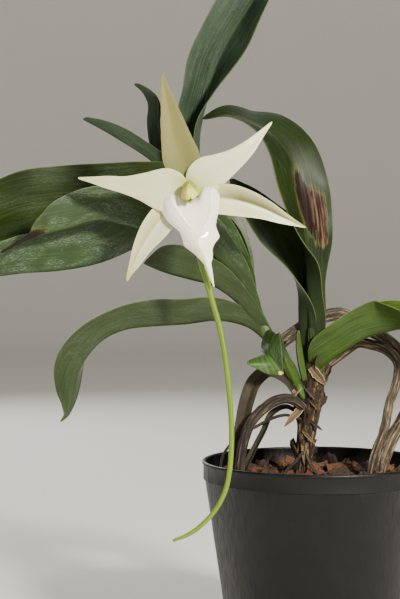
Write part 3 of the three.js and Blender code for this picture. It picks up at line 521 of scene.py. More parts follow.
# %% Leaf stations
# Photo column, photo row, depth in mm, half width in mm, roll and fold in degrees.
LEAVES = {
    "leaf_scarred": [
        [311, 356, 4, 9, 85, 78], [309, 322, 4, 16, 85, 75], [307, 290, 2, 19, 75, 68],
        [306, 262, 0, 22, 62, 55],
        [304.5, 240, -2, 26, 45, 40], [302, 215, -3, 29, 36, 28], [297, 185, -3, 30, 32, 22],
        [288, 155, 0, 29, 36, 20], [270, 134, 4, 27, 52, 20], [248, 123, 6, 21, 66, 22],
        [228, 116, 8, 14, 62, 25], [203, 119, 9, 2, 50, 25],
    ],
    "leaf_right": [
        [318, 371, 0, 12, -100, 76], [328, 362, -6, 24, -100, 74], [345, 350, -12, 28, -100, 70],
        [365, 338, -18, 29, -102, 67], [385, 332, -22, 33, -98, 62], [404, 329, -25, 31, -80, 44],
        [424, 343, -28, 24, -62, 28], [436, 366, -30, 15, -60, 22], [441, 384, -31, 6, -60, 20],
    ],
    "leaf_shaded": [
        [301, 374, 8, 9, 85, 78], [299.5, 342, 10, 15, 85, 74], [299, 312, 12, 19, 70, 65],
        [298, 288, 16, 22, 50, 45], [291, 262, 22, 25, 38, 30], [278, 238, 28, 25, 30, 24],
        [261, 217, 32, 20, 28, 22], [246, 198, 36, 13, 25, 22], [230, 179, 39, 2, 20, 20],
    ],
    "leaf_sheath": [
        [307, 380, -3, 5, -80, 70], [303, 357, -9, 6, -85, 65], [300.5, 342, -11, 5, -85, 60],
        [299, 330, -12, 2.5, -85, 55],
    ],
    "leaf_arching": [
        [266, 341, -6, 8, 95, 76], [250, 328, -12, 14, 98, 70], [224, 320.5, -20, 20, 102, 62],
        [182, 324, -32, 25, 105, 56], [150, 326, -38, 25, 106, 55], [126, 329, -42, 24, 108, 54],
        [106, 337.5, -45, 23, 112, 50], [90, 352, -47, 23, 122, 44], [78, 370, -48, 22, 135, 38],
        [72, 391, -48, 15, 143, 34], [69.5, 406, -48, 7.5, 145, 32], [66.5, 415.5, -49, 3, 140, 26],
        [60.5, 422, -51, 0.8, 135, 20],
    ],
    "leaf_brown_tip": [
        [256, 320, -10, 7, 92, 76], [247, 304, -17, 13, 95, 72], [233, 284, -25, 20, 98, 68],
        [217, 262, -34, 24, 100, 68], [200, 238, -46, 26, 100, 70], [178, 226, -56, 28, 102, 72],
        [152, 230, -62, 30, 104, 72], [128, 225, -65, 31, 104, 72], [100, 220, -67, 32, 104, 72],
        [74, 227, -69, 30, 104, 70], [52, 232, -71, 22, 105, 64], [38, 235, -72, 12, 108, 56],
        [30, 238, -73, 4.5, 108, 45], [16, 245, -76, 2.6, 108, 40], [1, 253, -80, 1.6, 108, 35],
    ],
    "leaf_lower": [
        [251, 308, -8, 7, 92, 76], [243, 292, -13, 14, 94, 74], [230, 264, -18, 20, 96, 72],
        [212, 238, -22, 25, 98, 72], [190, 224, -27, 30, 100, 72], [166, 230, -31, 34, 100, 72],
        [148, 241, -33, 36, 100, 72], [130, 250, -35, 38, 100, 72], [101, 262, -37, 39, 100, 72],
        [60, 270, -39, 38, 101, 70], [20, 273, -41, 34, 102, 66], [-15, 279, -43, 26, 103, 60],
        [-40, 290, -44, 14, 104, 54], [-52, 297, -44, 5, 104, 50],
    ],
    "leaf_middle": [
        [262, 331, -9, 8, 95, 76], [250, 316, -16, 12, 98, 70], [232, 298, -24, 16, 100, 64],
        [212, 285, -32, 22, 103, 60], [190, 279, -38, 28, 103, 58], [165, 272, -41, 28, 103, 56],
        [152, 267, -40, 20, 100, 54], [144, 263, -38, 8, 100, 50],
    ],
    "leaf_tall": [
        [264, 318, 2, 7, -85, 76], [257, 296, 6, 12, -85, 72], [250, 268, 12, 17, -82, 68],
        [247, 243, 18, 20, -78, 64], [236, 220, 24, 22, -72, 62], [216, 197, 28, 23, -65, 62],
        [202, 172, 29, 24, -55, 62], [199, 145, 27, 23, -45, 60], [202, 118, 22, 25, -40, 58],
        [208, 95, 18, 27, -30, 54], [216, 66, 14, 30, -18, 44], [230, 37, 10, 30, -14, 37],
        [252, 2, 6, 28, -25, 36], [268, -28, 3, 19, -25, 34], [279, -55, 1, 7, -25, 32],
    ],
    "leaf_broad": [
        [247, 297, -3, 7, 90, 76], [240, 272, -2, 14, 80, 70], [228, 235, -2, 20, 70, 60],
        [205, 208, 0, 26, 55, 45], [175, 196, 5, 30, 40, 35], [140, 198, 9, 34, 30, 28],
        [100, 202, 12, 36, 25, 24], [60, 205, 12, 37, 22, 22], [20, 211, 10, 35, 22, 22],
        [-15, 226, 8, 28, 25, 22], [-42, 245, 6, 15, 25, 20], [-54, 255, 5, 5, 25, 20],
    ],
    "leaf_back_low": [
        [242, 276, 12, 7, 90, 76], [228, 246, 24, 12, 92, 72], [200, 208, 40, 13, 95, 68],
        [172, 180, 50, 13.5, 98, 66], [148, 158, 53, 13.5, 100, 64], [122, 141, 55, 13, 100, 62],
        [100, 128, 56, 9, 100, 58], [83, 119, 57, 3, 100, 50],
    ],
    "leaf_back_high": [
        [240, 268, 20, 7, 85, 76], [220, 236, 40, 12, 85, 70], [190, 204, 58, 13, 85, 66],
        [163, 176, 66, 14, 85, 62], [151, 148, 68, 14, 85, 60], [147.5, 122, 68, 14, 85, 60],
        [148, 102, 67, 12, 85, 58], [142, 91, 66, 7, 85, 54], [134, 84, 65, 2.5, 85, 50],
    ],
}
# Two short leaves that bend too sharply for an even fold: left margin, midrib and right margin, row by row.
EDGED_LEAVES = {
    "leaf_short": [
        [[298, 378, 1], [298, 387, -5], [301, 381, -2]],
        [[291, 363, -3], [290.5, 375, -10], [296, 367, -6]],
        [[283, 349, -8], [283, 361, -12.5], [289.5, 356, -10]],
        [[274.5, 336, -12], [278, 346, -17], [284, 344, -18]],
        [[268.5, 330, -13], [276, 334, -22], [279.5, 332.3, -26]],
        [[263, 338.5, -14], [272, 342, -28], [280.5, 341, -33]],
        [[261, 350, -18], [268, 353, -33], [281.8, 352, -38]],
        [[260.5, 355, -28], [269.3, 356, -35], [282.2, 356.5, -39.5]],
        [[248, 361, -40], [271.5, 359, -37], [282.5, 361, -41]],
        [[258, 369.3, -42], [276.5, 365.5, -40], [283, 367.5, -42]],
        [[270, 374.3, -43], [280.5, 371, -42], [283.3, 371.8, -43]],
        [[281.5, 375, -44], [282.5, 374, -44], [283.5, 373.4, -44]],
    ],
    "leaf_base_pale": [
        [[294, 387, -4], [297, 390, -5], [300, 387, -3]],
        [[287, 375, -13], [292.5, 376, -13.5], [298, 376, -9]],
        [[283.6, 368, -16], [289.5, 369, -16.5], [296, 369, -12]],
        [[283.3, 361, -17], [286.5, 362.5, -18], [290.5, 361.5, -15]],
        [[283.5, 356, -18], [284.3, 356, -18.3], [285.2, 356.2, -18]],
    ],
}
LEAF_THICKNESS_MM = 1.5
LEAF_FINISHES = {
    "leaf_scarred": painted_shade_leaf, "leaf_shaded": painted_shade_leaf, "leaf_broad": olive_leaf, "leaf_right": bright_leaf,
    "leaf_arching": olive_leaf, "leaf_lower": chalky_leaf, "leaf_brown_tip": tipped_leaf,
    "leaf_middle": olive_leaf, "leaf_tall": grey_leaf, "leaf_back_low": grey_leaf,
    "leaf_back_high": grey_leaf, "leaf_short": folded_leaf, "leaf_sheath": bright_leaf,
    "leaf_base_pale": bright_leaf,
}
print(sum(len(s) for s in LEAVES.values()), "stations on", len(LEAVES), "leaves")

# %% [markdown]
# Two leaves carry dead tissue: the tall one has a long scar with a tan border, and one on the left has died
# back from its tip. Each dead area is an ellipse on the photograph, turned into a value on the leaf's own
# points, and the material tears its border with noise.

# %% Dead tissue and the leaves
# Ellipses of dead tissue: centre column and row, half width and half height in photo pixels, lean in degrees.
SCAR_ELLIPSES = [(304, 201, 6, 34, -14), (313, 210, 7, 22, -6), (320, 212, 6, 20, -4), (322, 234, 6, 12, 0)]
BROWN_TIP_ELLIPSES = [(12, 246, 36, 9, -25)]
CREAM_TIP_ELLIPSES = [(282, 374, 3.4, 1.9, 24)]
# Where the dead tissue of the scar and of the brown tip has rotted dark.
ROT_ELLIPSES = [(303, 198, 6, 34, -14), (312, 229, 4, 12, -20), (12, 246, 34, 8, -25)]


def dead_share(ellipses):
    """A function of a grid that gives 1 at the middle of an ellipse, 0.5 at its border and 0 far out."""
    def share(grid):
        reach = grid[..., 1] - VIEW_EYE_MM[1]
        drop = grid[..., 2] - VIEW_EYE_MM[2]
        ahead = reach * math.cos(VIEW_TIP_DOWN) - drop * math.sin(VIEW_TIP_DOWN)
        above = reach * math.sin(VIEW_TIP_DOWN) + drop * math.cos(VIEW_TIP_DOWN)
        column = VIEW_CENTRE[0] + VIEW_FOCAL_LENGTH * (grid[..., 0] - VIEW_EYE_MM[0]) / ahead
        row = VIEW_CENTRE[1] - VIEW_FOCAL_LENGTH * above / ahead
        best = np.zeros(column.shape)
        for centre_column, centre_row, wide, high, lean in ellipses:
            turn = math.radians(lean)
            x = (column - centre_column) * math.cos(turn) + (row - centre_row) * math.sin(turn)
            y = (row - centre_row) * math.cos(turn) - (column - centre_column) * math.sin(turn)
            best = np.maximum(best, 1 - 0.5 * np.hypot(x / wide, y / high))
        return best
    return share


DEAD_AREAS = {"leaf_scarred": dead_share(SCAR_ELLIPSES), "leaf_brown_tip": dead_share(BROWN_TIP_ELLIPSES),
              "leaf_short": dead_share(CREAM_TIP_ELLIPSES)}
rot_share = dead_share(ROT_ELLIPSES)
for number, (name, stations) in enumerate(LEAVES.items()):
    leaf = blade(name + "_blade", stations, LEAF_THICKNESS_MM, wave=1.6, curl=0.25, seed=number,
                 patch=DEAD_AREAS.get(name), rot=rot_share)
    finish(leaf, LEAF_FINISHES[name], "leaf", name)
for name, lines in EDGED_LEAVES.items():
    leaf = edged_blade(name + "_blade", lines, LEAF_THICKNESS_MM, patch=DEAD_AREAS.get(name))
    finish(leaf, LEAF_FINISHES[name], "leaf", name)
print("leaves with dead tissue:", list(DEAD_AREAS))

# %% [markdown]
# ## Dead leaves
# Old leaves dry to stiff, ribbed straps and hang into the pot. They use the same blade, with a husk-coloured
# finish whose ribs run their whole length, so that they read as matt, brittle straps.

# %% Dead leaf material and pieces
RIB_SPACING_MM = 1.6
# Ribs run on for about 50 mm, and stains are about 14 mm wide.
RIBS_PER_M = (20, 1000 / RIB_SPACING_MM, 1)
BLOTS_PER_M = 70.0


def dry_husk(name, dark, pale, stain, margin=None):
    """Dry leaf: matt husk, ribbed along its length, with paler worn margins."""
    material, tree, read = new_finish(name, "blade", "across")
    ribs = pattern(tree, read["blade"], RIBS_PER_M, 4.0, 0.65)
    blots = pattern(tree, read["place"], BLOTS_PER_M, 5.0)
    reach = add_node(tree, "ShaderNodeMath", {"operation": "ABSOLUTE"}, {0: read["across"]})
    colour = add_node(tree, "ShaderNodeValToRGB", None, {0: ribs}, [(0.32, dark), (0.66, pale)])
    colour = tinted(tree, colour,
                    (stain, (blots, 0.42, 0.65, 0.0, 0.7)),
                    (margin or pale, (reach, 0.8, 1.0, 0.0, 0.8 if margin else 0.5)))
    surfaced(tree, colour, ribs, 0.8, 1.2, {"Roughness": 0.8})
    return material


DEAD_LEAVES = {
    "leaf_dead": [
        [297, 395, -3, 4, 0, 50], [284, 379, -9, 6, 20, 40], [269, 372, -13, 7, 25, 30],
        [256, 381, -16, 7.5, 22, 25], [248, 399, -17, 7.5, 18, 22], [243, 421, -17, 7, 15, 22],
        [239, 446, -16, 6.5, 15, 25], [236, 470, -15, 6, 15, 28], [235, 486, -15, 5.5, 15, 30],
    ],
    "leaf_dead_thin": [
        [300, 414, 0, 2, 0, 50], [286, 407, 2, 3, 20, 45], [273, 413, 3, 3.5, 25, 40],
        [264, 431, 3, 3.5, 22, 40], [255, 448, 3, 3.5, 20, 40], [246, 467, 3, 3.5, 18, 40],
        [240, 486, 3, 3, 18, 40],
    ],
}
DEAD_LEAF_THICKNESS_MM = 1.1
dead_husk = dry_husk("dry_leaf_husk", "#110D06", "#3A331F", "#17130B")
for number, (name, stations) in enumerate(DEAD_LEAVES.items()):
    strap = blade(name + "_strap", stations, DEAD_LEAF_THICKNESS_MM, wave=0.8, seed=40 + number)
    finish(strap, dead_husk, "old_leaf", name)

# %% [markdown]
# ## Waxy flower tissue
# The tepals are firm and waxy. Light enters and scatters, so they glow softly instead of looking painted, and
# the white turns cream and green towards the heart of the flower. Weak subsurface scattering gives the glow.

# %% Waxy flower material
VEIN_SPACING_MM = 1.6
# Veins run on for about 56 mm and clouds are 17 mm wide. Real cells are well under 0.1 mm, and these are
# drawn 0.7 mm wide, so that the surface sparkles a little at this distance.
VEINS_PER_M = (18, 1000 / VEIN_SPACING_MM, 1)
CLOUDS_PER_M = 60.0
CELLS_PER_M = 1400.0


def waxy_tissue(name, white, heart, heart_reach, keel_tint=0.25, back="#C8C698", bead_mm=0.0, tip=None,
                roughness=0.36, veined=0.35, keel_shade=None, coat=0.0):
    """Waxy flower tissue. heart_reach is how far along the piece the heart's green reaches, from 0 to 1.
    The tint beside the keel, given with its side and its strength, is painted shade."""
    material, tree, read = new_finish(name, "blade", "across", "along", "under", "crest")
    place, across, along = read["place"], read["across"], read["along"]
    veins = pattern(tree, read["blade"], VEINS_PER_M, 2.0)
    cells = pattern(tree, place, CELLS_PER_M, 2.0)
    cloud = pattern(tree, place, CLOUDS_PER_M, 3.0)
    reach = add_node(tree, "ShaderNodeMath", {"operation": "ABSOLUTE"}, {0: across})
    green = add_node(tree, "ShaderNodeMath", {"operation": "MAXIMUM"},
                     {0: shown(tree, (along, 0.0, heart_reach, 0.85, 0.0, SOFT)),
                      1: shown(tree, (reach, 0.0, 0.3, keel_tint, 0.0, SOFT))})
    colour = tinted(tree, linear(white),
                    (heart, (cloud, 0.35, 0.7, 0.0, 0.14)),
                    (heart, (green, 0.0, 1.0)),
                    (heart, (veins, 0.45, 0.7, 0.0, 0.3 * veined)))
    if tip:
        colour = tinted(tree, colour, (tip, (along, 0.78, 1.0, 0.0, 0.9, SOFT)))
    # Painted shade beside the keel: darkest next to it, fading towards the margin and the ends.
    if keel_shade:
        tint, side, strength = keel_shade
        beside = add_node(tree, "ShaderNodeMath", {"operation": "MULTIPLY"}, {0: across, 1: side})
        colour = tinted(tree, colour, (
            tint, (beside, -0.02, 0.16, 0.0, strength, SOFT), (beside, 0.25, 1.0, 1.0, 0.3),
            (along, 0.1, 0.4, 0.4, 1.0), (along, 0.8, 1.0, 1.0, 0.3)))
    colour = tinted(tree, colour, (back, (read["under"], 0.0, 1.0, 0.0, 0.8)))
    relief = summed(tree, (cells, 0.3), (veins, veined))
    if bead_mm:
        beads = add_node(tree, "ShaderNodeTexVoronoi", {"feature": "SMOOTH_F1"},
                         {"Vector": place, "Scale": 1000 / bead_mm})
        beaded = add_node(tree, "ShaderNodeMath", {"operation": "MULTIPLY"}, {0: beads, 1: read["crest"]})
        relief = summed(tree, (relief, 1.0), (beaded, -4.0))
    surfaced(tree, colour, relief, 0.3, 0.6,
             {"Roughness": roughness, "Subsurface Weight": 0.15, "Subsurface Scale": 0.003,
              "Subsurface Radius": (1.0, 0.96, 0.75), "IOR": 1.42, "Coat Weight": coat,
              "Coat Roughness": 0.12})
    return material


print("veins repeat every", VEIN_SPACING_MM, "mm")

# %% [markdown]
# ## Tepals
# Three sepals and two petals make the star. Each is a blade with a rounded keel and margins that curl back a
# little. The upper sepal is darkened to olive with painted shade, and the two lower ones carry painted shade
# beside the keel.

# %% Tepals
# Photo column, photo row, depth in mm, half width in mm, roll and fold in degrees.
TEPALS = {
    "dorsal_sepal": [
        [190, 184, -103, 6, 0, 16], [187, 174, -106, 12.5, 0, 14], [182, 160, -109, 16, 0, 12],
        [176.5, 140, -112, 13.5, 0, 12], [172, 120, -115, 9.8, 0, 12], [167.5, 100, -118, 6, 0, 12],
        [164, 85, -120, 3, 0, 12], [162.5, 74.5, -121, 0.7, 0, 10],
    ],
    "petal_left": [
        [187, 191, -107, 7, 0, 10], [178, 190, -109, 15, 0, 8], [168, 190, -110, 18.5, 0, 6],
        [158, 189, -110, 17, 0, 4], [143, 187, -109, 12, 0, 4], [125, 185, -107, 7.5, 0, 6],
        [106, 182, -105, 5.2, 0, 8], [92, 180, -103, 2.8, 0, 10], [78, 178, -101, 0.7, 0, 10],
    ],
    "petal_right": [
        [191, 190, -107, 7, 0, 10], [199, 182, -109, 14, 0, 8], [207, 175, -110, 15.5, 0, 6],
        [218, 169, -110, 13, 0, 4], [233, 160, -109, 9.3, 0, 4], [248, 148, -107, 6.3, 0, 6],
        [261, 134, -104, 3, 0, 8], [272, 122, -102, 0.7, 0, 10],
    ],
    "lateral_sepal_left": [
        [187, 197, -102, 6, 0, 20], [176, 206, -104, 10, 0, 20], [165, 216, -105, 12.5, 0, 20],
        [154, 229.5, -104, 12, 0, 20], [143, 246, -102, 8.6, 0, 20], [134, 265, -99, 4.6, 0, 20],
        [129, 275, -97, 2, 0, 18], [127, 281.5, -96, 0.6, 0, 15],
    ],
    "lateral_sepal_right": [
        [192, 196, -102, 6, 0, 22], [205, 198, -104, 11.4, 0, 28], [217, 199, -105, 14.4, 0, 30],
        [230, 200, -105, 15.2, 0, 31], [246, 203.5, -104, 13.5, 0, 31], [263, 209, -102, 10, 0, 29],
        [284, 218.5, -99, 5.2, 0, 20], [297, 224, -97, 2.3, 0, 18], [306, 227.5, -96, 0.6, 0, 15],
    ],
}
TEPAL_THICKNESS_MM = 1.2
petal_wax = waxy_tissue("waxy_petal", "#CBC9A4", "#A4AC5A", 0.2, keel_tint=0.06, back="#D0CDAC")
# The upper sepal's dark olive cream is painted shade.
shaded_dorsal_wax = waxy_tissue("waxy_dorsal_sepal_painted_shade", "#746F42", "#5C6326", 0.5, keel_tint=0.3, back="#C6C498")
# The olive tints beside the lower sepals' keels are painted shade.
left_wax = waxy_tissue("waxy_sepal_left", "#D2D0AC", "#A2A956", 0.3, keel_tint=0.0, tip="#B4AC56",
                       keel_shade=("#928F52", -1, 0.75))
right_wax = waxy_tissue("waxy_sepal_right", "#D2D0AA", "#A2A956", 0.3, keel_tint=0.0, tip="#A29A30",
                        keel_shade=("#57541F", 1, 0.95))
TEPAL_FINISHES = {"dorsal_sepal": shaded_dorsal_wax, "petal_left": petal_wax, "petal_right": petal_wax,
                  "lateral_sepal_left": left_wax, "lateral_sepal_right": right_wax}
for number, (name, stations) in enumerate(TEPALS.items()):
    tepal = blade(name + "_wax", stations, TEPAL_THICKNESS_MM, steps=10, columns=24, wave=0.5, curl=0.35,
                  round_keel=0.35, seed=60 + number)
    finish(tepal, TEPAL_FINISHES[name], "tepal", name)

# %% [markdown]
# ## Lip
# The lip is a shell: two lobes beside the throat roll back at their edges, a flat channel lies between them,
# and below it a keel runs down to a drawn-out tip. Its outline is read row by row, and its relief is a
# formula of the place in the shell, which is easier to control than pushing points about.

# %% Lip outline
# Photo row, left edge, right edge, depth in mm, then where the left and right crests lie, from -1 to 1.
LIP_ROWS = np.array([
    [196, 160.5, 219.5, -112, -0.66, 0.72], [203, 160, 219.4, -115, -0.6, 0.74],
    [212, 163, 218.4, -117, -0.48, 0.73], [220, 167.5, 216.2, -118, -0.33, 0.7],
    [226, 174, 215, -119, -0.26, 0.5], [231, 180, 216.9, -119, -0.18, 0.22],
    [237, 182.2, 219.5, -119, -0.16, -0.1],
    [241, 183.4, 215.8, -118.5, -0.1, -0.06], [246, 184.4, 212.8, -118, 0.02, 0.04],
    [250, 190, 211.6, -117, 0.05, 0.06], [254, 195.4, 212.4, -116.5, 0.0, 0.02],
    [258.5, 199.5, 212, -116, -0.1, -0.05], [263, 204, 210.5, -115, -0.3, -0.2],
    [270, 207, 211.8, -113, -0.3, -0.2],
    [277, 209.6, 212.6, -111, 0, 0], [283, 212.1, 213.4, -109.8, 0, 0], [287, 213.7, 213.9, -109, 0, 0],
])
# Upper edge of the lip: place across and photo row.
LIP_TOP = np.array([[-1, 203], [-0.93, 199], [-0.8, 195.8], [-0.6, 194], [-0.42, 194.6], [-0.34, 197],
                    [-0.26, 198.6], [0.22, 198.2], [0.32, 196.4], [0.38, 191.6], [0.45, 188.2], [0.6, 186.6],
                    [0.8, 186.8], [0.93, 188.5], [1, 193]])
LIP_THICKNESS_MM = 1.3
# Photo rows from one welt of a crest to the next.
LIP_BEAD_ROWS = 2.9
# Photo rows: the throat's middle, where its crests end, where its lobes end, and its tip.
THROAT_ROW = 198
CRESTS_END_ROW = 232
LOBES_END_ROW = 246
TIP_ROW = 287
THROAT_MM = 5.5
SADDLE_MM = 0.9
BROW_MM = 3.6
# A photo pixel in mm at the lip's depth.
PHOTO_MM = 0.84
print("lip rows from", LIP_ROWS[0, 0], "to", LIP_ROWS[-1, 0])

# %% [markdown]
# The relief adds up what the eye sees: the rolled lobes, the saddle between them, the hollow of the throat,
# the brow over it, the keel, and the two beaded crests whose small welts catch the light one by one.

# %% Lip shell
def rounded(x, known, values, width):
    """Reads a broken line with its corners rounded over the width."""
    return sum(np.interp(x + shift, known, values) for shift in np.linspace(-width, width, 7)) / 7


def on_crests(a, left, right, width):
    """Two round bumps across the lip, on its left and on its right crest."""
    return np.exp(-((a - left) / width) ** 2) + np.exp(-((a - right) / width) ** 2)


def lip_grid(rows=220, columns=120):
    """Middle surface of the lip, from the throat to the tip and from left to right, with how far along and
    across each point is, how much of a crest it is, and how far it is from the throat."""
    t = np.linspace(0, 1, rows)[:, None]
    a = np.linspace(-1, 1, columns + 1)[None, :]
    line = LIP_ROWS[0, 0] + (LIP_ROWS[-1, 0] - LIP_ROWS[0, 0]) * t ** 1.15
    top = rounded(a, *LIP_TOP.T, 0.05)
    row = line + (top - LIP_ROWS[0, 0]) * (1 - t) ** 5
    left, right, depth, crest_left, crest_right = (rounded(line, LIP_ROWS[:, 0], LIP_ROWS[:, k], 1.7)
                                                   for k in (1, 2, 3, 4, 5))
    to_tip = np.clip((TIP_ROW - line) / 7, 0, 1)
    left = right - (right - left) * to_tip ** 0.7
    column = left + (right - left) * (a + 1) / 2
    half_mm = (right - left) * PHOTO_MM / 2
    upper = np.clip((LOBES_END_ROW - line) / 14, 0, 1)
    crested = np.clip((CRESTS_END_ROW - line) / 12, 0, 1)
    # The hollow lies between the crests; what is past them rolls back.
    middle = (crest_left + crest_right) / 2
    spread = np.maximum((crest_right - crest_left) / 2, 0.05)
    hollow = np.clip(1 - ((a - middle) / spread) ** 2, 0, 1)
    past_left = np.clip((crest_left - a) / (1 + crest_left), 0, 1)
    past_right = np.clip((a - crest_right) / (1 - crest_right), 0, 1)
    past = past_left + past_right
    roll = half_mm * (0.08 * past + 0.28 * past ** 2.4)
    saddle = SADDLE_MM * upper * hollow * np.clip((CRESTS_END_ROW - line) / 20, 0, 1)
    throat = THROAT_MM * np.exp(-(a / 0.22) ** 2) * np.exp(-np.maximum(row - THROAT_ROW, 0) ** 2 / 36)
    brow = BROW_MM * np.exp(-np.maximum(row - top, 0) / 1.8) * np.clip((215 - line) / 12, 0, 1)
    keeled = half_mm * 0.32 * (1 - upper) * (1 - past)
    # Each crest is a string of small welts, which run out into weak ribs on both sides.
    ripple = np.sin(line * 2 * math.pi / LIP_BEAD_ROWS)
    crest = on_crests(a, crest_left, crest_right, 0.1) * crested
    welt = on_crests(a, crest_left, crest_right, 0.065) * (0.6 + 0.34 * ripple)
    ribs = on_crests(a, crest_left, crest_right, 0.17) * 0.13 * ripple
    depth = depth + roll + saddle + throat + brow - keeled - (welt + ribs) * crested - 1.0
    grid = from_photo(column, row, depth)
    for _ in range(3):
        grid[1:-1, 1:-1] += 0.2 * (grid[:-2, 1:-1] + grid[2:, 1:-1] + grid[1:-1, :-2] + grid[1:-1, 2:]
                                   - 4 * grid[1:-1, 1:-1])
    from_throat = np.clip(np.hypot(a / 0.26, (row - THROAT_ROW) / 8.5), 0, 1)
    return grid, t + 0 * a, a + 0 * t, crest, from_throat


# The lip's olive heart colour, strongest at the throat under the cap, is painted shade.
lip_wax = waxy_tissue("waxy_lip", "#FFFAE4", "#76802A", 1.0, keel_tint=0.0, back="#F4F0DA", bead_mm=1.7,
                      roughness=0.18, veined=0.2, coat=0.6)
grid, lip_along, lip_across, lip_crest, lip_throat_shade = lip_grid()
lip_uv = np.stack([lip_along * 80, lip_across * 25], -1)
lip = sheet("lip_shell", grid, LIP_THICKNESS_MM,
            {"along": lip_throat_shade, "across": lip_across, "crest": lip_crest}, lip_uv)
weld(lip, 0.0001)
finish(lip, lip_wax, "lip", "lip")

# %% [markdown]
# The anther cap closes the column like a little hood, split by a notch at its front edge. It is one more
# sheet, bent into a dome. A small green beak, the rostellum, lies under it.

# %% Anther cap
CAP_TOP_ROW = 183.2
# Lower edge of the cap: place across and photo row.
CAP_EDGE = np.array([[-1, 197], [-0.86, 199.3], [0.1, 199.6], [0.55, 198.4], [0.93, 195.8], [1, 194.4]])
CAP_DEPTH_MM = -122.6
CAP_BULGE_MM = 7.6
CAP_THICKNESS_MM = 1.0
NOTCH_ROWS = 4
BEAK_THICKNESS_MM = 1.2
BEAK_STATIONS = [[188.6, 193, -116, 3.4, 0, 24], [189.2, 197, -119, 3.1, 0, 26],
                 [189.8, 200.5, -121.5, 2.2, 0, 26], [190, 203.4, -122.5, 0.5, 0, 20]]


def cap_grid(rows=44, columns=160):
    """Middle surface of the cap, from its top to its edge and from left to right."""
    t = 1 - np.cos(np.linspace(0.12, math.pi / 2, rows))[:, None]
    a = np.linspace(-1, 1, columns + 1)[None, :]
    dome = np.sqrt(2 * t - t * t)
    column = 188 + 1.6 * t ** 2 + a * (6.2 * dome + 1.7 * t ** 1.6)
    row = CAP_TOP_ROW + (rounded(a, *CAP_EDGE.T, 0.1) - CAP_TOP_ROW) * t
    row = row - NOTCH_ROWS * np.exp(-((a - 0.1) / 0.08) ** 2) * t ** 7
    bulge = np.cos(a * math.pi / 2 * 0.98) ** 0.8 * (0.3 + 0.7 * dome)
    return from_photo(column, row, CAP_DEPTH_MM - CAP_BULGE_MM * bulge), t + 0 * a, a + 0 * t


cap_wax = waxy_tissue("waxy_anther_cap", "#D8CE6C", "#8E8C22", 0.6, keel_tint=0.0, back="#BCB450", veined=0.2)
grid, cap_along, cap_across = cap_grid()
cap = sheet("anther_cap_hood", grid, CAP_THICKNESS_MM, {"along": cap_along, "across": cap_across},
            np.stack([cap_along * 14, cap_across * 7], -1))
finish(cap, cap_wax, "lip", "anther_cap")
beak_wax = waxy_tissue("waxy_rostellum", "#7E9230", "#5F761C", 0.6, back="#6C8026", veined=0.4)
beak = blade("rostellum_beak", BEAK_STATIONS, BEAK_THICKNESS_MM, steps=8, columns=14, round_keel=0.5, seed=71)
finish(beak, beak_wax, "column")

# %% [markdown]
# ## Round pieces by Geometry Nodes
# Stems, roots, the flower stalk and the spur are all a circle swept along a route whose radius changes. Roots
# have ridges and a knotty skin. A node tree does this well: the same tree makes them all, and its named
# inputs set the number of ridges, their depth and how knotty the skin is. Three helpers come first: one
# starts a tree, one runs it and keeps the result as a plain mesh, and one draws the route.

# %% Tree helpers
def new_tree(name, inputs):
    """An empty geometry tree with named inputs, its input node and its output node."""
    tree = bpy.data.node_groups.new(name, "GeometryNodeTree")
    tree.interface.new_socket("Geometry", in_out="INPUT", socket_type="NodeSocketGeometry")
    for label, kind in inputs.items():
        tree.interface.new_socket(label, in_out="INPUT", socket_type="NodeSocket" + kind)
    tree.interface.new_socket("Geometry", in_out="OUTPUT", socket_type="NodeSocketGeometry")
    return tree, add_node(tree, "NodeGroupInput"), add_node(tree, "NodeGroupOutput")


def grow(carrier, tree, values, name):
    """Runs a tree on a carrier object and keeps the result as a plain mesh object."""
    modifier = carrier.modifiers.new("growth", "NODES")
    modifier.node_group = tree
    for item in tree.interface.items_tree:
        if item.in_out == "INPUT" and item.name in values:
            modifier[item.identifier] = values[item.name]
    bpy.context.view_layer.update()
    evaluated = carrier.evaluated_get(bpy.context.evaluated_depsgraph_get())
    mesh = bpy.data.meshes.new_from_object(evaluated)
    bpy.data.objects.remove(carrier)
    mesh.name = name
    result = bpy.data.objects.new(name, mesh)
    bpy.context.collection.objects.link(result)
    print(f"{name}: {len(mesh.polygons)} faces")
    return result


def route_object(name, stations, steps):
    """A line of points along the route that carries the radius in metres."""
    rows = smooth_rows(stations, steps)
    mesh = bpy.data.meshes.new(name)
    mesh.from_pydata((rows[:, :3] * MM).tolist(), [(i, i + 1) for i in range(len(rows) - 1)], [])
    radius = mesh.attributes.new("radius_here", "FLOAT", "POINT")
    radius.data.foreach_set("value", (rows[:, 3] * MM).astype(np.float32))
    obj = bpy.data.objects.new(name, mesh)
    bpy.context.collection.objects.link(obj)
    return obj


print("each point of a route keeps its radius as radius_here")

# %% [markdown]
# The tree turns the route into a curve and sweeps a circle along it. It keeps how far along and around each
# point lies, so that the materials can run fibres down the piece, then lifts the ridges and knots along the
# normals.

# %% Swept piece tree
POINT_FLOAT = {"data_type": "FLOAT", "domain": "POINT"}
POINT_VECTOR = {"data_type": "FLOAT_VECTOR", "domain": "POINT"}
# How far round the ridges wander where the skin is knotty, in radians.
RIDGE_WANDER = 5.0


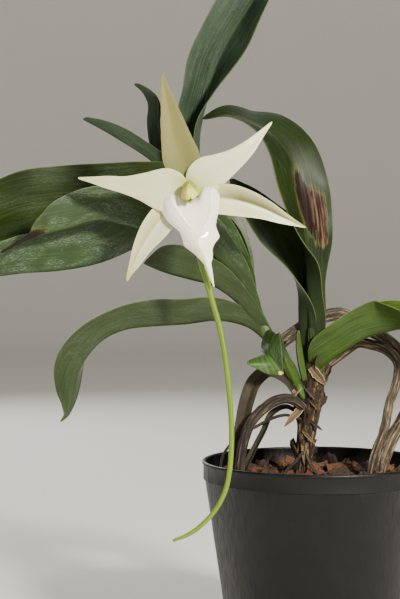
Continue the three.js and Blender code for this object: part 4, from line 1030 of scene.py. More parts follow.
def swept_tree():
    """A route turned into a round piece with ridges and knots."""
    tree, given, result = new_tree("swept_piece", {
        "Sides": "Int", "Ridges": "Int", "Ridge Depth": "Float", "Knots": "Float", "Knot Scale": "Float",
        "Material": "Material"})
    given = given.outputs
    # The route, which keeps the share and the length up to each point.
    route = add_node(tree, "GeometryNodeMeshToCurve", None, {"Mesh": given["Geometry"]})
    radius = add_node(tree, "GeometryNodeInputNamedAttribute", {"data_type": "FLOAT"},
                      {"Name": "radius_here"})
    place = add_node(tree, "GeometryNodeSplineParameter").outputs
    route = add_node(tree, "GeometryNodeStoreNamedAttribute", POINT_FLOAT,
                     {"Geometry": route, "Name": "along", "Value": place["Factor"]})
    route = add_node(tree, "GeometryNodeStoreNamedAttribute", POINT_FLOAT,
                     {"Geometry": route, "Name": "length_m", "Value": place["Length"]})
    # The circle, which keeps the turn and the place of each of its points.
    circle = add_node(tree, "GeometryNodeCurvePrimitiveCircle", {"mode": "RADIUS"},
                      {"Resolution": given["Sides"], "Radius": 1.0})
    turn = add_node(tree, "GeometryNodeSplineParameter").outputs
    circle = add_node(tree, "GeometryNodeStoreNamedAttribute", POINT_FLOAT,
                      {"Geometry": circle, "Name": "around", "Value": turn["Factor"]})
    spoke = add_node(tree, "GeometryNodeInputPosition")
    circle = add_node(tree, "GeometryNodeStoreNamedAttribute", POINT_VECTOR,
                      {"Geometry": circle, "Name": "spoke", "Value": spoke})
    tube = add_node(tree, "GeometryNodeCurveToMesh", None,
                    {"Curve": route, "Profile Curve": circle, "Scale": radius, "Fill Caps": True})
    # Ridges are a sine round the piece, shifted by the knots.
    around = add_node(tree, "GeometryNodeInputNamedAttribute", {"data_type": "FLOAT"}, {"Name": "around"})
    angle = add_node(tree, "ShaderNodeMath", {"operation": "MULTIPLY"}, {0: around, 1: 2 * math.pi})
    angle = add_node(tree, "ShaderNodeMath", {"operation": "MULTIPLY"}, {0: angle, 1: given["Ridges"]})
    spot = add_node(tree, "GeometryNodeInputPosition")
    knots = add_node(tree, "ShaderNodeTexNoise", None,
                     {"Vector": spot, "Scale": given["Knot Scale"], "Detail": 4.0}).outputs["Fac"]
    angle = add_node(tree, "ShaderNodeMath", {"operation": "MULTIPLY_ADD"},
                     {0: knots, 1: RIDGE_WANDER, 2: angle})
    crest = add_node(tree, "ShaderNodeMath", {"operation": "SINE"}, {0: angle})
    ridge = add_node(tree, "ShaderNodeMath", {"operation": "MULTIPLY"}, {0: crest, 1: given["Ridge Depth"]})
    tube = add_node(tree, "GeometryNodeStoreNamedAttribute", POINT_FLOAT,
                    {"Geometry": tube, "Name": "ridge", "Value": crest})
    # Ridges and knots lift the skin along its normals.
    centred = add_node(tree, "ShaderNodeMath", {"operation": "SUBTRACT"}, {0: knots, 1: 0.5})
    lift = add_node(tree, "ShaderNodeMath", {"operation": "MULTIPLY_ADD"},
                    {0: centred, 1: given["Knots"], 2: ridge})
    normal = add_node(tree, "GeometryNodeInputNormal")
    offset = add_node(tree, "ShaderNodeVectorMath", {"operation": "SCALE"}, {0: normal, "Scale": lift})
    shaped = add_node(tree, "GeometryNodeSetPosition", None, {"Geometry": tube, "Offset": offset})
    smoothed = add_node(tree, "GeometryNodeSetShadeSmooth", None, {"Geometry": shaped})
    real = add_node(tree, "GeometryNodeRealizeInstances", None, {"Geometry": smoothed})
    dressed = add_node(tree, "GeometryNodeSetMaterial", None,
                       {"Geometry": real, "Material": given["Material"]})
    tree.links.new(dressed.outputs[0], result.inputs[0])
    return tree


swept = swept_tree()
print("swept tree nodes:", len(swept.nodes))

# %% [markdown]
# ## Skin of roots and stems
# An aerial root wears velamen, a dead spongy layer that dries silvery and cracks lengthwise over brown
# tissue. The fibres have to run down the root however it bends, so the pattern reads the length and the place
# on the swept circle that the sweep stored. Because the circle closes, the pattern has no seam.

# %% Fibrous skin material
# The swept circle has a radius of 1, so fibres have their true width where a piece has this radius.
RING_RADIUS_MM = 5.0
CRACK = "#1B120C"


def fibrous_skin(name, dark, middle, pale, roughness, fibre_mm=1.4, run_mm=18, relief_mm=0.8, cracks=0.0,
                 furrow_shade=0.0, tip=None, tip_from=0.0, tip_to=1.0):
    """Skin with fibres along the piece. cracks darken the gaps, the troughs between the ridges get painted
    shade, and tip is the far end's colour.
    """
    material, tree, read = new_finish(name, "length_m", "ridge", "along")
    spoke = add_node(tree, "ShaderNodeAttribute", {"attribute_name": "spoke"}).outputs["Vector"]
    parts = add_node(tree, "ShaderNodeSeparateXYZ", None, {0: spoke})
    ring = add_node(tree, "ShaderNodeCombineXYZ", None,
                    {0: parts.outputs[0], 1: parts.outputs[1], 2: read["length_m"]})
    wide = RING_RADIUS_MM / fibre_mm
    grain = pattern(tree, ring, (wide, wide, 1000 / run_mm), 5.0, 0.65, 0.3)
    gaps = pattern(tree, ring, (wide * 0.6, wide * 0.6, 1600 / run_mm), 4.0, 0.7, 1.2)
    blotch = pattern(tree, read["place"], CLOUDS_PER_M, 4.0)
    gap = shown(tree, (gaps, 0.46, 0.38))
    colour = add_node(tree, "ShaderNodeValToRGB", None,
                      {0: grain}, [(0.3, dark), (0.5, middle), (0.68, pale)])
    # The troughs between the ridges get painted shade in the dark tone.
    colour = tinted(tree, colour,
                    (middle, (blotch, 0.5, 0.75, 0.0, 0.5)),
                    (dark, (read["ridge"], -0.2, -1.0, 0.0, furrow_shade)),
                    (CRACK, (gap, 0.0, 1.0, 0.0, cracks)))
    if tip:
        colour = tinted(tree, colour, (tip, (read["along"], tip_from, tip_to, 0.0, 1.0, SOFT)))
    surfaced(tree, colour, summed(tree, (grain, 1.0), (gap, -0.8 * cracks)), 0.8, relief_mm,
             {"Roughness": roughness, "Subsurface Weight": 0.12 if tip else 0.0, "Subsurface Scale": 0.002})
    return material


velamen = fibrous_skin("dry_velamen_root", "#0D0804", "#403424", "#A69678", 0.8, cracks=0.7, furrow_shade=0.8)
old_velamen = fibrous_skin("old_velamen_root", "#060302", "#1B130C", "#6E5C42", 0.85, cracks=0.6, furrow_shade=0.9)
old_sheath = fibrous_skin("old_stem_sheath", "#080402", "#2A190C", "#927A52", 0.9, fibre_mm=1.5, run_mm=16,
                          relief_mm=1.6, cracks=1.0, furrow_shade=0.85, tip="#253A0C", tip_from=0.7, tip_to=0.78)
green_shoot = fibrous_skin("green_shoot_skin", "#1A2E05", "#2E4709", "#4C631F", 0.5, relief_mm=0.3)
spur_skin = fibrous_skin("spur_skin", "#4C620A", "#5F7714", "#788C28", 0.34, fibre_mm=2.5, run_mm=40,
                         relief_mm=0.15, tip="#627A14")
column_skin = fibrous_skin("column_skin", "#5E7612", "#78901F", "#94A63C", 0.42, relief_mm=0.15)
print("skins:", [m.name for m in (velamen, old_velamen, old_sheath, green_shoot, spur_skin, column_skin)])

# %% [markdown]
# Now the routes. Each root, stem, the stalk and the spur is a row of stations that ends with its radius, and
# the finish says how many ridges it has and how deep they are. The spur is nearly smooth, the old stem the
# roughest.

# %% Round stations and pieces
# Photo column, photo row, depth in mm and radius in mm.
ROUND_PIECES = {
    "stem_main": [
        [302, 492, 5, 7], [302, 473, 5, 7], [304, 452, 5, 7.5], [307, 430, 4, 8.5], [310, 410, 4, 9.5],
        [313, 390, 4, 10], [314, 372, 4, 9], [314, 362, 4, 7], [313, 345, 4, 5], [311, 328, 4, 2.5],
    ],
    "stem_side": [
        [304, 397, 2, 5], [293, 380, -2, 6], [280, 358, -5, 6], [268, 336, -6, 6], [257, 314, -6, 5.5],
        [248, 292, -4, 5], [241, 270, 0, 3.5],
    ],
    "root_right_high": [
        [284, 359, 3, 5], [279, 346, 12, 5.6], [290, 336, 18, 6], [312, 322, 26, 6], [340, 314, 28, 6],
        [366, 328, 26, 6], [388, 341, 22, 5.8], [404, 358, 16, 5.6], [412, 385, 12, 5.4],
        [405, 415, 8, 5.6], [391, 440, 4, 6], [380, 470, 2, 6], [376, 490, 1, 5],
    ],
    "root_right_low": [
        [318, 372, 12, 3.5], [332, 362, 20, 4], [346, 351, 24, 4.4], [358, 343, 24, 4.6],
        [372, 345, 22, 4.6], [388, 351, 12, 4.4], [398, 363, 2, 4.2], [397, 380, -4, 4],
        [390, 402, -9, 4], [384, 430, -12, 4], [374, 458, -14, 4], [368, 488, -15, 3.6],
    ],
    "root_left": [
        [304, 408, -5, 3.6], [290, 399, -12, 4.2], [275, 401, -19, 4.4], [263, 409, -24, 4.4],
        [252, 421, -28, 4.3], [245, 437, -31, 4.2], [241, 455, -33, 4.2], [239, 475, -34, 4.2],
        [238, 490, -34, 3.8],
    ],
    "root_thin_left": [
        [303, 452, -5, 1.6], [296, 461, -9, 1.5], [288, 469, -12, 1.4], [281, 479, -14, 1.3],
        [278, 490, -15, 1.2],
    ],
    "root_thin_right": [
        [306, 455, -5, 1.6], [311, 465, -9, 1.5], [317, 475, -12, 1.3], [321, 490, -13, 1.2],
    ],
    "root_thin_side": [
        [304, 420, 0, 1.3], [285, 415, -9, 1.4], [255, 427, -14, 1.4], [234, 441, -17, 1.3],
        [224, 453, -18, 1.3], [220, 470, -18, 1.2], [220, 488, -18, 1.1],
    ],
    "flower_stalk": [
        [247, 290, -8, 3.6], [236, 268, -18, 3.3], [224, 246, -29, 3.1], [213, 226, -43, 3.1],
        [204, 210, -60, 3.2], [197, 199, -78, 3.5], [192, 192, -95, 3.9], [190.5, 190.5, -102, 4],
    ],
    "flower_column": [
        [190, 190.5, -102, 4.4], [190, 190.5, -108, 4.8], [189.7, 189.5, -114, 5.6], [189.3, 188, -120, 6],
        [189, 188, -124, 5],
    ],
    "spur": [
        [192, 207, -107, 4.2], [194, 222, -106, 4], [197, 240, -105, 3.4], [200.5, 258, -104, 3],
        [206, 278, -103, 2.8], [212, 300, -102, 2.5], [219, 325, -101, 2.45], [224, 350, -101, 2.4],
        [227.5, 375, -101, 2.4], [230, 400, -101, 2.35], [231.5, 425, -102, 2.3], [231.3, 450, -103, 2.3],
        [229.4, 472, -105, 2.25], [225.6, 490, -107, 2.2], [218, 506, -109, 2.1], [206, 521, -111, 2],
        [191, 533, -112, 1.85], [173, 541, -113, 1.3],
    ],
}
# Material, slot, sides, ridges, ridge depth in mm, knots in mm and knot scale for each.
ROUND_FINISHES = {
    "stem_main": (old_sheath, "stem", 56, 9, 0.55, 2.2, 170.0),
    "stem_side": (green_shoot, "shoot", 32, 5, 0.2, 0.4, 90.0),
    "root_right_high": (velamen, "root", 36, 8, 0.45, 1.6, 90.0),
    "root_right_low": (velamen, "root", 32, 7, 0.4, 1.2, 110.0),
    "root_left": (old_velamen, "root", 40, 9, 0.55, 1.0, 120.0),
    "root_thin_left": (old_velamen, "root", 14, 3, 0.15, 0.6, 200.0),
    "root_thin_right": (old_velamen, "root", 14, 3, 0.15, 0.6, 200.0),
    "root_thin_side": (old_velamen, "root", 14, 3, 0.15, 0.6, 200.0),
    "flower_stalk": (green_shoot, "stalk", 30, 6, 0.18, 0.1, 60.0),
    "flower_column": (column_skin, "column", 30, 4, 0.2, 0.1, 90.0),
    "spur": (spur_skin, "spur", 24, 3, 0.1, 0.1, 40.0),
}
for name, (material, slot, sides, ridges, depth, knots, scale) in ROUND_FINISHES.items():
    carrier = route_object(name + "_route", ROUND_PIECES[name], 12)
    piece = grow(carrier, swept, {
        "Sides": sides, "Ridges": ridges, "Ridge Depth": depth * MM, "Knots": knots * MM, "Knot Scale": scale,
        "Material": material}, name + "_skin")
    finish(piece, None, slot, name)

# %% [markdown]
# ## Papery sheaths
# Dead leaf sheaths stay on the old stem as torn, papery scales. Each is the same little curled plate, turned,
# sized and lifted at random, so it is instanced along the stem by Geometry Nodes instead of being placed by
# hand.

# %% Scale mesh
SCALE_MM = 1000
SCALE_THICKNESS_MM = 45


def papery_scale(name, torn, curl, columns=9, rows=10, seed=1):
    """One scale, 1 m long and wide, rooted at the origin, growing up Z and curling towards X."""
    random = np.random.default_rng(seed)
    t = np.linspace(0, 1, rows)[:, None]
    a = np.linspace(-1, 1, columns)[None, :]
    ends = 1 - torn * random.uniform(0, 1, columns)[None, :]
    half = 0.5 * (1 - 0.55 * t ** 2)
    x = curl * t ** 2 - 0.22 * a ** 2 * (1 - 0.5 * t)
    grid = np.stack([x + 0 * a, half * a, t * ends], -1) * SCALE_MM
    values = {"along": t + 0 * a, "across": a + 0 * t}
    return sheet(name, grid, SCALE_THICKNESS_MM, values, np.stack([t + 0 * a, a + 0 * t], -1) * 20)


print("a scale is drawn", SCALE_MM, "mm long, and the tree sizes it")

# %% [markdown]
# The tree walks up the stem and sets a scale at every step. Each turns on by 2.4 radians from the last, as
# leaves do on a stem, plus a little at random, and leans outwards by no more than its lift.

# %% Scale tree
# From one scale to the next, in radians.
LEAF_TURN = 2.4
# A scale turns on by up to this much more, sits a little inside the stem's skin and may lean in a little.
MOST_WOBBLE = 1.3
SEAT_SHARE = 0.97
LEAST_LEAN = -0.05
# The smallest and the largest scale, as shares of the size that is asked for.
SCALE_SIZES = (0.45, 1.25)


def scales_tree():
    """Scales in rows up a route, each turned, lifted and sized by its own seeded random value."""
    tree, given, result = new_tree("sheath_scales", {
        "Scale Piece": "Object", "Count": "Int", "Length": "Float", "Width": "Float", "Lift": "Float",
        "Seed": "Int", "Material": "Material"})
    given = given.outputs
    route = add_node(tree, "GeometryNodeMeshToCurve", None, {"Mesh": given["Geometry"]})
    points = add_node(tree, "GeometryNodeCurveToPoints", {"mode": "COUNT"},
                      {"Curve": route, "Count": given["Count"]}).outputs
    source = add_node(tree, "GeometryNodeObjectInfo", {"transform_space": "ORIGINAL"},
                      {"Object": given["Scale Piece"]}).outputs
    upright = add_node(tree, "FunctionNodeAlignRotationToVector", {"axis": "Z"},
                       {"Vector": points["Tangent"]})
    placed = add_node(tree, "GeometryNodeInstanceOnPoints", None,
                      {"Points": points["Points"], "Instance": source["Geometry"], "Rotation": upright})
    # Each scale turns on from the last one, about the stem.
    number = add_node(tree, "GeometryNodeInputIndex")
    wobble = add_node(tree, "FunctionNodeRandomValue", {"data_type": "FLOAT"},
                      {2: 0.0, 3: MOST_WOBBLE, "Seed": given["Seed"]})
    turn = add_node(tree, "ShaderNodeMath", {"operation": "MULTIPLY_ADD"},
                    {0: number, 1: LEAF_TURN, 2: wobble})
    spin = add_node(tree, "ShaderNodeCombineXYZ", None, {"Z": turn})
    spun = add_node(tree, "GeometryNodeRotateInstances", None, {"Instances": placed, "Rotation": spin})
    # It moves out to the stem's skin.
    radius = add_node(tree, "GeometryNodeInputNamedAttribute", {"data_type": "FLOAT"},
                      {"Name": "radius_here"})
    seat = add_node(tree, "ShaderNodeMath", {"operation": "MULTIPLY"}, {0: radius, 1: SEAT_SHARE})
    outward = add_node(tree, "ShaderNodeCombineXYZ", None, {"X": seat})
    moved = add_node(tree, "GeometryNodeTranslateInstances", None,
                     {"Instances": spun, "Translation": outward})
    # It leans out and gets its size. Added to the seed, 7 and 13 make these draws differ from the first.
    second = add_node(tree, "ShaderNodeMath", {"operation": "ADD"}, {0: given["Seed"], 1: 7.0})
    tilt = add_node(tree, "FunctionNodeRandomValue", {"data_type": "FLOAT"},
                    {2: LEAST_LEAN, 3: given["Lift"], "Seed": second})
    lean = add_node(tree, "ShaderNodeCombineXYZ", None, {"Y": tilt})
    leaned = add_node(tree, "GeometryNodeRotateInstances", None, {"Instances": moved, "Rotation": lean})
    third = add_node(tree, "ShaderNodeMath", {"operation": "ADD"}, {0: given["Seed"], 1: 13.0})
    growth = add_node(tree, "FunctionNodeRandomValue", {"data_type": "FLOAT"},
                      {2: SCALE_SIZES[0], 3: SCALE_SIZES[1], "Seed": third})
    sizes = add_node(tree, "ShaderNodeCombineXYZ", None,
                     {"X": given["Length"], "Y": given["Width"], "Z": given["Length"]})
    size = add_node(tree, "ShaderNodeVectorMath", {"operation": "SCALE"}, {0: sizes, "Scale": growth})
    scaled = add_node(tree, "GeometryNodeScaleInstances", None, {"Instances": leaned, "Scale": size})
    real = add_node(tree, "GeometryNodeRealizeInstances", None, {"Geometry": scaled})
    dressed = add_node(tree, "GeometryNodeSetMaterial", None,
                       {"Geometry": real, "Material": given["Material"]})
    tree.links.new(dressed.outputs[0], result.inputs[0])
    return tree


scales = scales_tree()
papery = dry_husk("papery_sheath", "#180F07", "#513D25", "#1C1209")
pale_papery = dry_husk("pale_papery_sheath", "#20140A", "#7A6442", "#24180C", margin="#BCAB84")
print("scale tree nodes:", len(scales.nodes))

# %% [markdown]
# Three rows of scales cover the old stem, from broad torn plates to thin splinters.

# %% Scales on the old stem
OLD_STEM_SHEATHED = [
    [302, 470, 5, 7], [304, 452, 5, 7.5], [307, 430, 4, 8.5], [310, 410, 4, 9.5], [313, 390, 4, 10],
    [314, 378, 4, 9.5],
]
# Count, length and width in mm, the most they lift in radians, seed, and how torn the free end is.
SCALE_ROWS = [(9, 19.0, 13.0, 0.16, 3, 0.5), (16, 24.0, 4.0, 0.07, 8, 0.4), (6, 9.0, 2.6, 0.3, 21, 0.3)]
for number, (count, length, width, lift, seed, torn) in enumerate(SCALE_ROWS):
    scale = papery_scale(f"scale_{number}", torn, 0.25, seed=seed)
    row = grow(route_object(f"scale_route_{number}", OLD_STEM_SHEATHED, 6), scales, {
        "Scale Piece": scale, "Count": count, "Length": length * MM, "Width": width * MM, "Lift": lift,
        "Seed": seed, "Material": papery}, f"sheath_scales_{number}")
    bpy.data.objects.remove(scale)
    finish(row, None, "stem")

# %% [markdown]
# A few large scales stand out in the photograph, so these are placed one by one as small blades.

# %% Loose scales
# Photo column, photo row and depth of the root and of the free tip, width in mm, and whether it is bleached.
LOOSE_SCALES = [
    [304, 405, -5, 284, 427, -11, 9, True], [311, 367, -4, 326, 385, -7, 11, True],
    [311, 421, -5, 323, 431, -9, 4, False], [303, 431, -4, 315, 444, -8, 3.5, True],
    [300, 386, -3, 290, 399, -7, 7, True], [310, 401, -6, 321, 412, -8, 3, False],
    [306, 388, -5, 316, 400, -9, 5, False], [302.5, 446, -4, 304.5, 465, -4, 3, True],
    [308, 449, -4, 307.5, 463, -4, 2.2, True],
]
LOOSE_THICKNESS_MM = 0.7
LOOSE_BOW_MM = 1.5
# How wide a loose scale is along its length, as a share of its full width.
LOOSE_WIDTHS = ((0, 0.8), (0.35, 1.0), (0.7, 0.75), (1, 0.08))
for number, (column, row, depth, tip_column, tip_row, tip_depth, width, bleached) in enumerate(LOOSE_SCALES):
    stations = []
    for t, share in LOOSE_WIDTHS:
        bow = LOOSE_BOW_MM * math.sin(math.pi * t)
        stations.append([column + (tip_column - column) * t, row + (tip_row - row) * t,
                         depth + (tip_depth - depth) * t - bow, width / 2 * share, 10, 24])
    scale = blade(f"loose_scale_{number}", stations, LOOSE_THICKNESS_MM, steps=12, columns=12, wave=2.0,
                  seed=80 + number, torn=0.3)
    finish(scale, pale_papery if bleached else papery, "stem")

# %% [markdown]
# ## Bark
# Orchids grow in split bark, not soil. Dust and torn layers make it matt, and each chip has a shade of its
# own, from a number that the tree below gives it.

# %% Bark material
# Torn layers are about 4 mm apart. Dust is drawn in grains of 1 mm, far coarser than it is, so that it shows.
LAYERS_PER_M = 260.0
BARK_DUST_PER_M = 900.0
BARK_DUST = "#6F5B45"


def split_bark(name):
    """Split pine bark: orange-brown layers over dark cork."""
    material, tree, read = new_finish(name, "chip_shade")
    layers = pattern(tree, read["place"], LAYERS_PER_M, 6.0, 0.7, 0.8)
    dust = pattern(tree, read["place"], BARK_DUST_PER_M, 2.0)
    tone = add_node(tree, "ShaderNodeValToRGB", None, {0: layers},
                    [(0.32, "#0F0703"), (0.52, "#3A200D"), (0.74, "#684324")])
    shade = add_node(tree, "ShaderNodeValToRGB", None, {0: read["chip_shade"]},
                     [(0.0, "#150B06"), (0.6, "#3C2211"), (1.0, "#724626")])
    colour = add_node(tree, "ShaderNodeMix", {"data_type": "RGBA"}, {SHARE: 0.5, UNDER: tone, OVER: shade})
    colour = tinted(tree, colour, (BARK_DUST, (dust, 0.55, 0.7, 0.0, 0.2)))
    surfaced(tree, colour, layers, 0.9, 1.5, {"Roughness": 0.9})
    return material


bark = split_bark("split_pine_bark")
print("bark material:", bark.name)

# %% [markdown]
# The chips are blocks with torn, layered sides. The tree makes three knobbly blocks, scatters them over the
# bark's surface at least a spacing apart, and turns and sizes each by a seeded random value.

# %% Chip tree
# Length, width and height of the three blocks, as shares of a chip's length.
CHIP_BLOCKS = [(1.0, 0.55, 0.34), (0.8, 0.62, 0.4), (1.15, 0.42, 0.3)]
# Knobs a block's length, and how far they stand out, as a share of it.
KNOB_SCALE = 2.6
KNOB_DEPTH = 0.55
# How many points are tried a square metre, before those that are too close together are dropped.
TRIED_POINTS = 30000.0
# How far a chip tilts out of level at most, in radians.
MOST_TILT = 0.7
# The smallest and the largest chip, as shares of the length that is asked for.
CHIP_SIZES = (0.5, 1.2)


def chips_tree():
    """Knobbly blocks scattered over a surface."""
    tree, given, result = new_tree("bark_chips", {
        "Spacing": "Float", "Length": "Float", "Seed": "Int", "Material": "Material"})
    given = given.outputs
    spots = add_node(tree, "GeometryNodeDistributePointsOnFaces", {"distribute_method": "POISSON"},
                     {"Mesh": given["Geometry"], "Distance Min": given["Spacing"],
                      "Density Max": TRIED_POINTS, "Seed": given["Seed"]})
    kinds = add_node(tree, "GeometryNodeJoinGeometry")
    for number, proportions in enumerate(CHIP_BLOCKS):
        block = add_node(tree, "GeometryNodeMeshCube", None, {"Size": proportions})
        fine = add_node(tree, "GeometryNodeSubdivideMesh", None, {"Mesh": block, "Level": 3})
        # Each block reads the noise at another place, so that its knobs are its own.
        spot = add_node(tree, "GeometryNodeInputPosition")
        shifted = add_node(tree, "ShaderNodeVectorMath", {"operation": "ADD"},
                           {0: spot, 1: (3.1 * number, 1.7 * number, 0.4)})
        knobs = add_node(tree, "ShaderNodeTexNoise", {"noise_dimensions": "3D"},
                         {"Vector": shifted, "Scale": KNOB_SCALE, "Detail": 4.0, "Roughness": 0.6}).outputs
        centred = add_node(tree, "ShaderNodeVectorMath", {"operation": "SUBTRACT"},
                           {0: knobs["Color"], 1: (0.5, 0.5, 0.5)})
        pushed = add_node(tree, "ShaderNodeVectorMath", {"operation": "SCALE"},
                          {0: centred, "Scale": KNOB_DEPTH})
        torn = add_node(tree, "GeometryNodeSetPosition", None, {"Geometry": fine, "Offset": pushed})
        kind = add_node(tree, "GeometryNodeGeometryToInstance", None, {0: torn})
        tree.links.new(kind.outputs[0], kinds.inputs[0])
    turn = add_node(tree, "FunctionNodeRandomValue", {"data_type": "FLOAT_VECTOR"},
                    {0: (-MOST_TILT, -MOST_TILT, 0.0), 1: (MOST_TILT, MOST_TILT, 6.28),
                     "Seed": given["Seed"]})
    growth = add_node(tree, "FunctionNodeRandomValue", {"data_type": "FLOAT"},
                      {2: CHIP_SIZES[0], 3: CHIP_SIZES[1], "Seed": given["Seed"]})
    size = add_node(tree, "ShaderNodeMath", {"operation": "MULTIPLY"}, {0: growth, 1: given["Length"]})
    chips = add_node(tree, "GeometryNodeInstanceOnPoints", None,
                     {"Points": spots, "Instance": kinds, "Pick Instance": True, "Rotation": turn,
                      "Scale": size})
    shade = add_node(tree, "FunctionNodeRandomValue", {"data_type": "FLOAT"}, {2: 0.0, 3: 1.0, "Seed": 5})
    marked = add_node(tree, "GeometryNodeStoreNamedAttribute", {"data_type": "FLOAT", "domain": "INSTANCE"},
                      {"Geometry": chips, "Name": "chip_shade", "Value": shade})
    real = add_node(tree, "GeometryNodeRealizeInstances", None, {"Geometry": marked})
    dressed = add_node(tree, "GeometryNodeSetMaterial", None,
                       {"Geometry": real, "Material": given["Material"]})
    tree.links.new(dressed.outputs[0], result.inputs[0])
    return tree


chips = chips_tree()
print("chip tree nodes:", len(chips.nodes))

# %% [markdown]
# The chips grow on a flat disc just above the solid bark, so they hide it and sink into it. The solid itself
# stays, and only takes the bark's material.

# %% Bark pieces
POT_HEIGHT_MM = 190
POT_RIM_RADIUS_MM = 105
BARK_SURFACE_MM = POT_HEIGHT_MM - 19
# The chips lie over this radius, which leaves them clear of the pot's wall.
CHIP_COVER_RADIUS_MM = 88
CHIP_SPACING_MM = 9.5
CHIP_LENGTH_MM = 23


def disc(name, radius, height, rings=14, segments=56):
    """A flat disc of quads with its middle closed by triangles."""
    points = [(0, 0, height)]
    for ring in range(1, rings + 1):
        for k in range(segments):
            turn = 2 * math.pi * k / segments
            reach = radius * ring / rings
            points.append((reach * math.cos(turn), reach * math.sin(turn), height))
    faces = [(0, 1 + k, 1 + (k + 1) % segments) for k in range(segments)]
    for ring in range(rings - 1):
        start = 1 + ring * segments
        for k in range(segments):
            following = (k + 1) % segments
            faces.append((start + k, start + segments + k, start + segments + following, start + following))
    return make_object(name, points, faces)


chip_cover = grow(disc("bark_surface", CHIP_COVER_RADIUS_MM, BARK_SURFACE_MM + 1), chips, {
    "Spacing": CHIP_SPACING_MM * MM, "Length": CHIP_LENGTH_MM * MM, "Seed": 12, "Material": bark},
    "bark_chips")
finish(chip_cover, None, "bark")
bark_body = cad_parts["bark_medium"]
bark_body.data.materials.clear()
bark_body.data.materials.append(bark)

# %% [markdown]
# ## Pot
# A nursery pot is injection-moulded from black polypropylene: satin, finely grained by its mould and dusty
# from use. Its gloss is broken by faint scuffs, which tells the eye that it is plastic and not glazed clay.

# %% Pot material
# Dust lies in clouds of about 36 mm. Scuffs are 2.4 mm wide and 20 mm tall, and dried splashes 11 by 32 mm.
# The mould's grain is drawn 0.7 mm wide, some five times its real size, so that it shows.
POT_DUST_PER_M = 28.0
SCUFFS_PER_M = (420.0, 420.0, 50.4)
SPLASHES_PER_M = (90.0, 90.0, 31.5)
MOULD_GRAIN_PER_M = 1500.0


def moulded_polypropylene(name):
    """Black moulded polypropylene: satin, with dust, dried splashes and faint scuffs."""
    material, tree, read = new_finish(name)
    place = read["place"]
    dust = pattern(tree, place, POT_DUST_PER_M, 8.0, 0.7)
    scuff = pattern(tree, place, SCUFFS_PER_M, 3.0)
    mould = pattern(tree, place, MOULD_GRAIN_PER_M, 2.0)
    splash = pattern(tree, place, SPLASHES_PER_M, 5.0, 0.7)
    colour = tinted(tree, linear("#060707"),
                    ("#211F1B", (dust, 0.48, 0.75, 0.0, 0.2)),
                    ("#4A4840", (splash, 0.64, 0.72, 0.0, 0.16)))
    surfaced(tree, colour, summed(tree, (mould, 0.5), (scuff, 1.0)), 0.15, 0.3,
             {"Roughness": shown(tree, (scuff, 0.35, 0.7, 0.34, 0.55)), "IOR": 1.49,
              "Specular IOR Level": 0.28})
    return material


pot_plastic = moulded_polypropylene("moulded_black_polypropylene")
print("pot material:", pot_plastic.name)

# %% [markdown]
# A lathe shape suits the pot, drawn as half a section and turned round the axis. It is finer than the solid,
# with a properly rounded lip, and has the same drainage holes in its floor.

# %% Pot section
POT_BASE_RADIUS_MM = 77
POT_WALL_MM = 1.7
POT_FLOOR_MM = 2.4
BAND_BOTTOM_MM = POT_HEIGHT_MM - 17
BAND_RADIUS_MM = POT_RIM_RADIUS_MM - 1
WALL_TOP_RADIUS_MM = BAND_RADIUS_MM - 1.6
LIP_INNER_MM = POT_RIM_RADIUS_MM - 3.6
# Radii of the rounded corners: the foot, the band's lower edge, the lip's three edges and the floor.
FOOT_ROUND_MM = 2
BAND_ROUND_MM = 0.8
LIP_UNDER_MM = 1
LIP_OUTER_MM = 1.4
LIP_EDGE_MM = 1.2
FLOOR_ROUND_MM = 1.5


def arc(centre_r, centre_z, radius, start, end, steps=7):
    """Points of a round corner in the section, angles in degrees."""
    turns = np.radians(np.linspace(start, end, steps))
    return [(centre_r + radius * math.cos(t), centre_z + radius * math.sin(t)) for t in turns]


def pot_section():
    """Half a section: from the middle of the foot up the outside, over the lip and down the inside."""
    outside = [(0.4, 0), (40, 0)]
    outside += arc(POT_BASE_RADIUS_MM - FOOT_ROUND_MM, FOOT_ROUND_MM, FOOT_ROUND_MM, -90, 0)
    outside += [(WALL_TOP_RADIUS_MM, BAND_BOTTOM_MM - 0.8)]
    outside += arc(BAND_RADIUS_MM - BAND_ROUND_MM, BAND_BOTTOM_MM + BAND_ROUND_MM, BAND_ROUND_MM, -80, 0)
    lip_edge = [(BAND_RADIUS_MM, POT_HEIGHT_MM - 3.4)]
    lip_edge += arc(POT_RIM_RADIUS_MM - LIP_UNDER_MM, POT_HEIGHT_MM - 2, LIP_UNDER_MM, -70, 0)
    lip_edge += arc(POT_RIM_RADIUS_MM - LIP_OUTER_MM, POT_HEIGHT_MM - LIP_OUTER_MM, LIP_OUTER_MM, 0, 90)
    lip_edge += arc(LIP_INNER_MM + LIP_EDGE_MM, POT_HEIGHT_MM - LIP_EDGE_MM, LIP_EDGE_MM, 90, 180)
    inside = [(LIP_INNER_MM + 0.3, POT_HEIGHT_MM - 3), (BAND_RADIUS_MM - POT_WALL_MM, BAND_BOTTOM_MM + 2)]
    inside += [(WALL_TOP_RADIUS_MM - POT_WALL_MM, BAND_BOTTOM_MM - 1)]
    floor_corner = POT_BASE_RADIUS_MM - POT_WALL_MM - 1.3
    inside += arc(floor_corner, POT_FLOOR_MM + FLOOR_ROUND_MM, FLOOR_ROUND_MM, 0, -90)
    return outside + lip_edge + inside + [(0.4, POT_FLOOR_MM)]


print("points in the pot's section:", len(pot_section()))

# %% [markdown]
# The section is turned by half a step from the X axis, so that none of its edges meets a corner of a drainage
# hole: a Boolean cut is safest where nothing touches exactly.

# %% Turned pot
DRAIN_HOLES = 8
DRAIN_CIRCLE_MM = 56
DRAIN_RADIUS_MM = 6


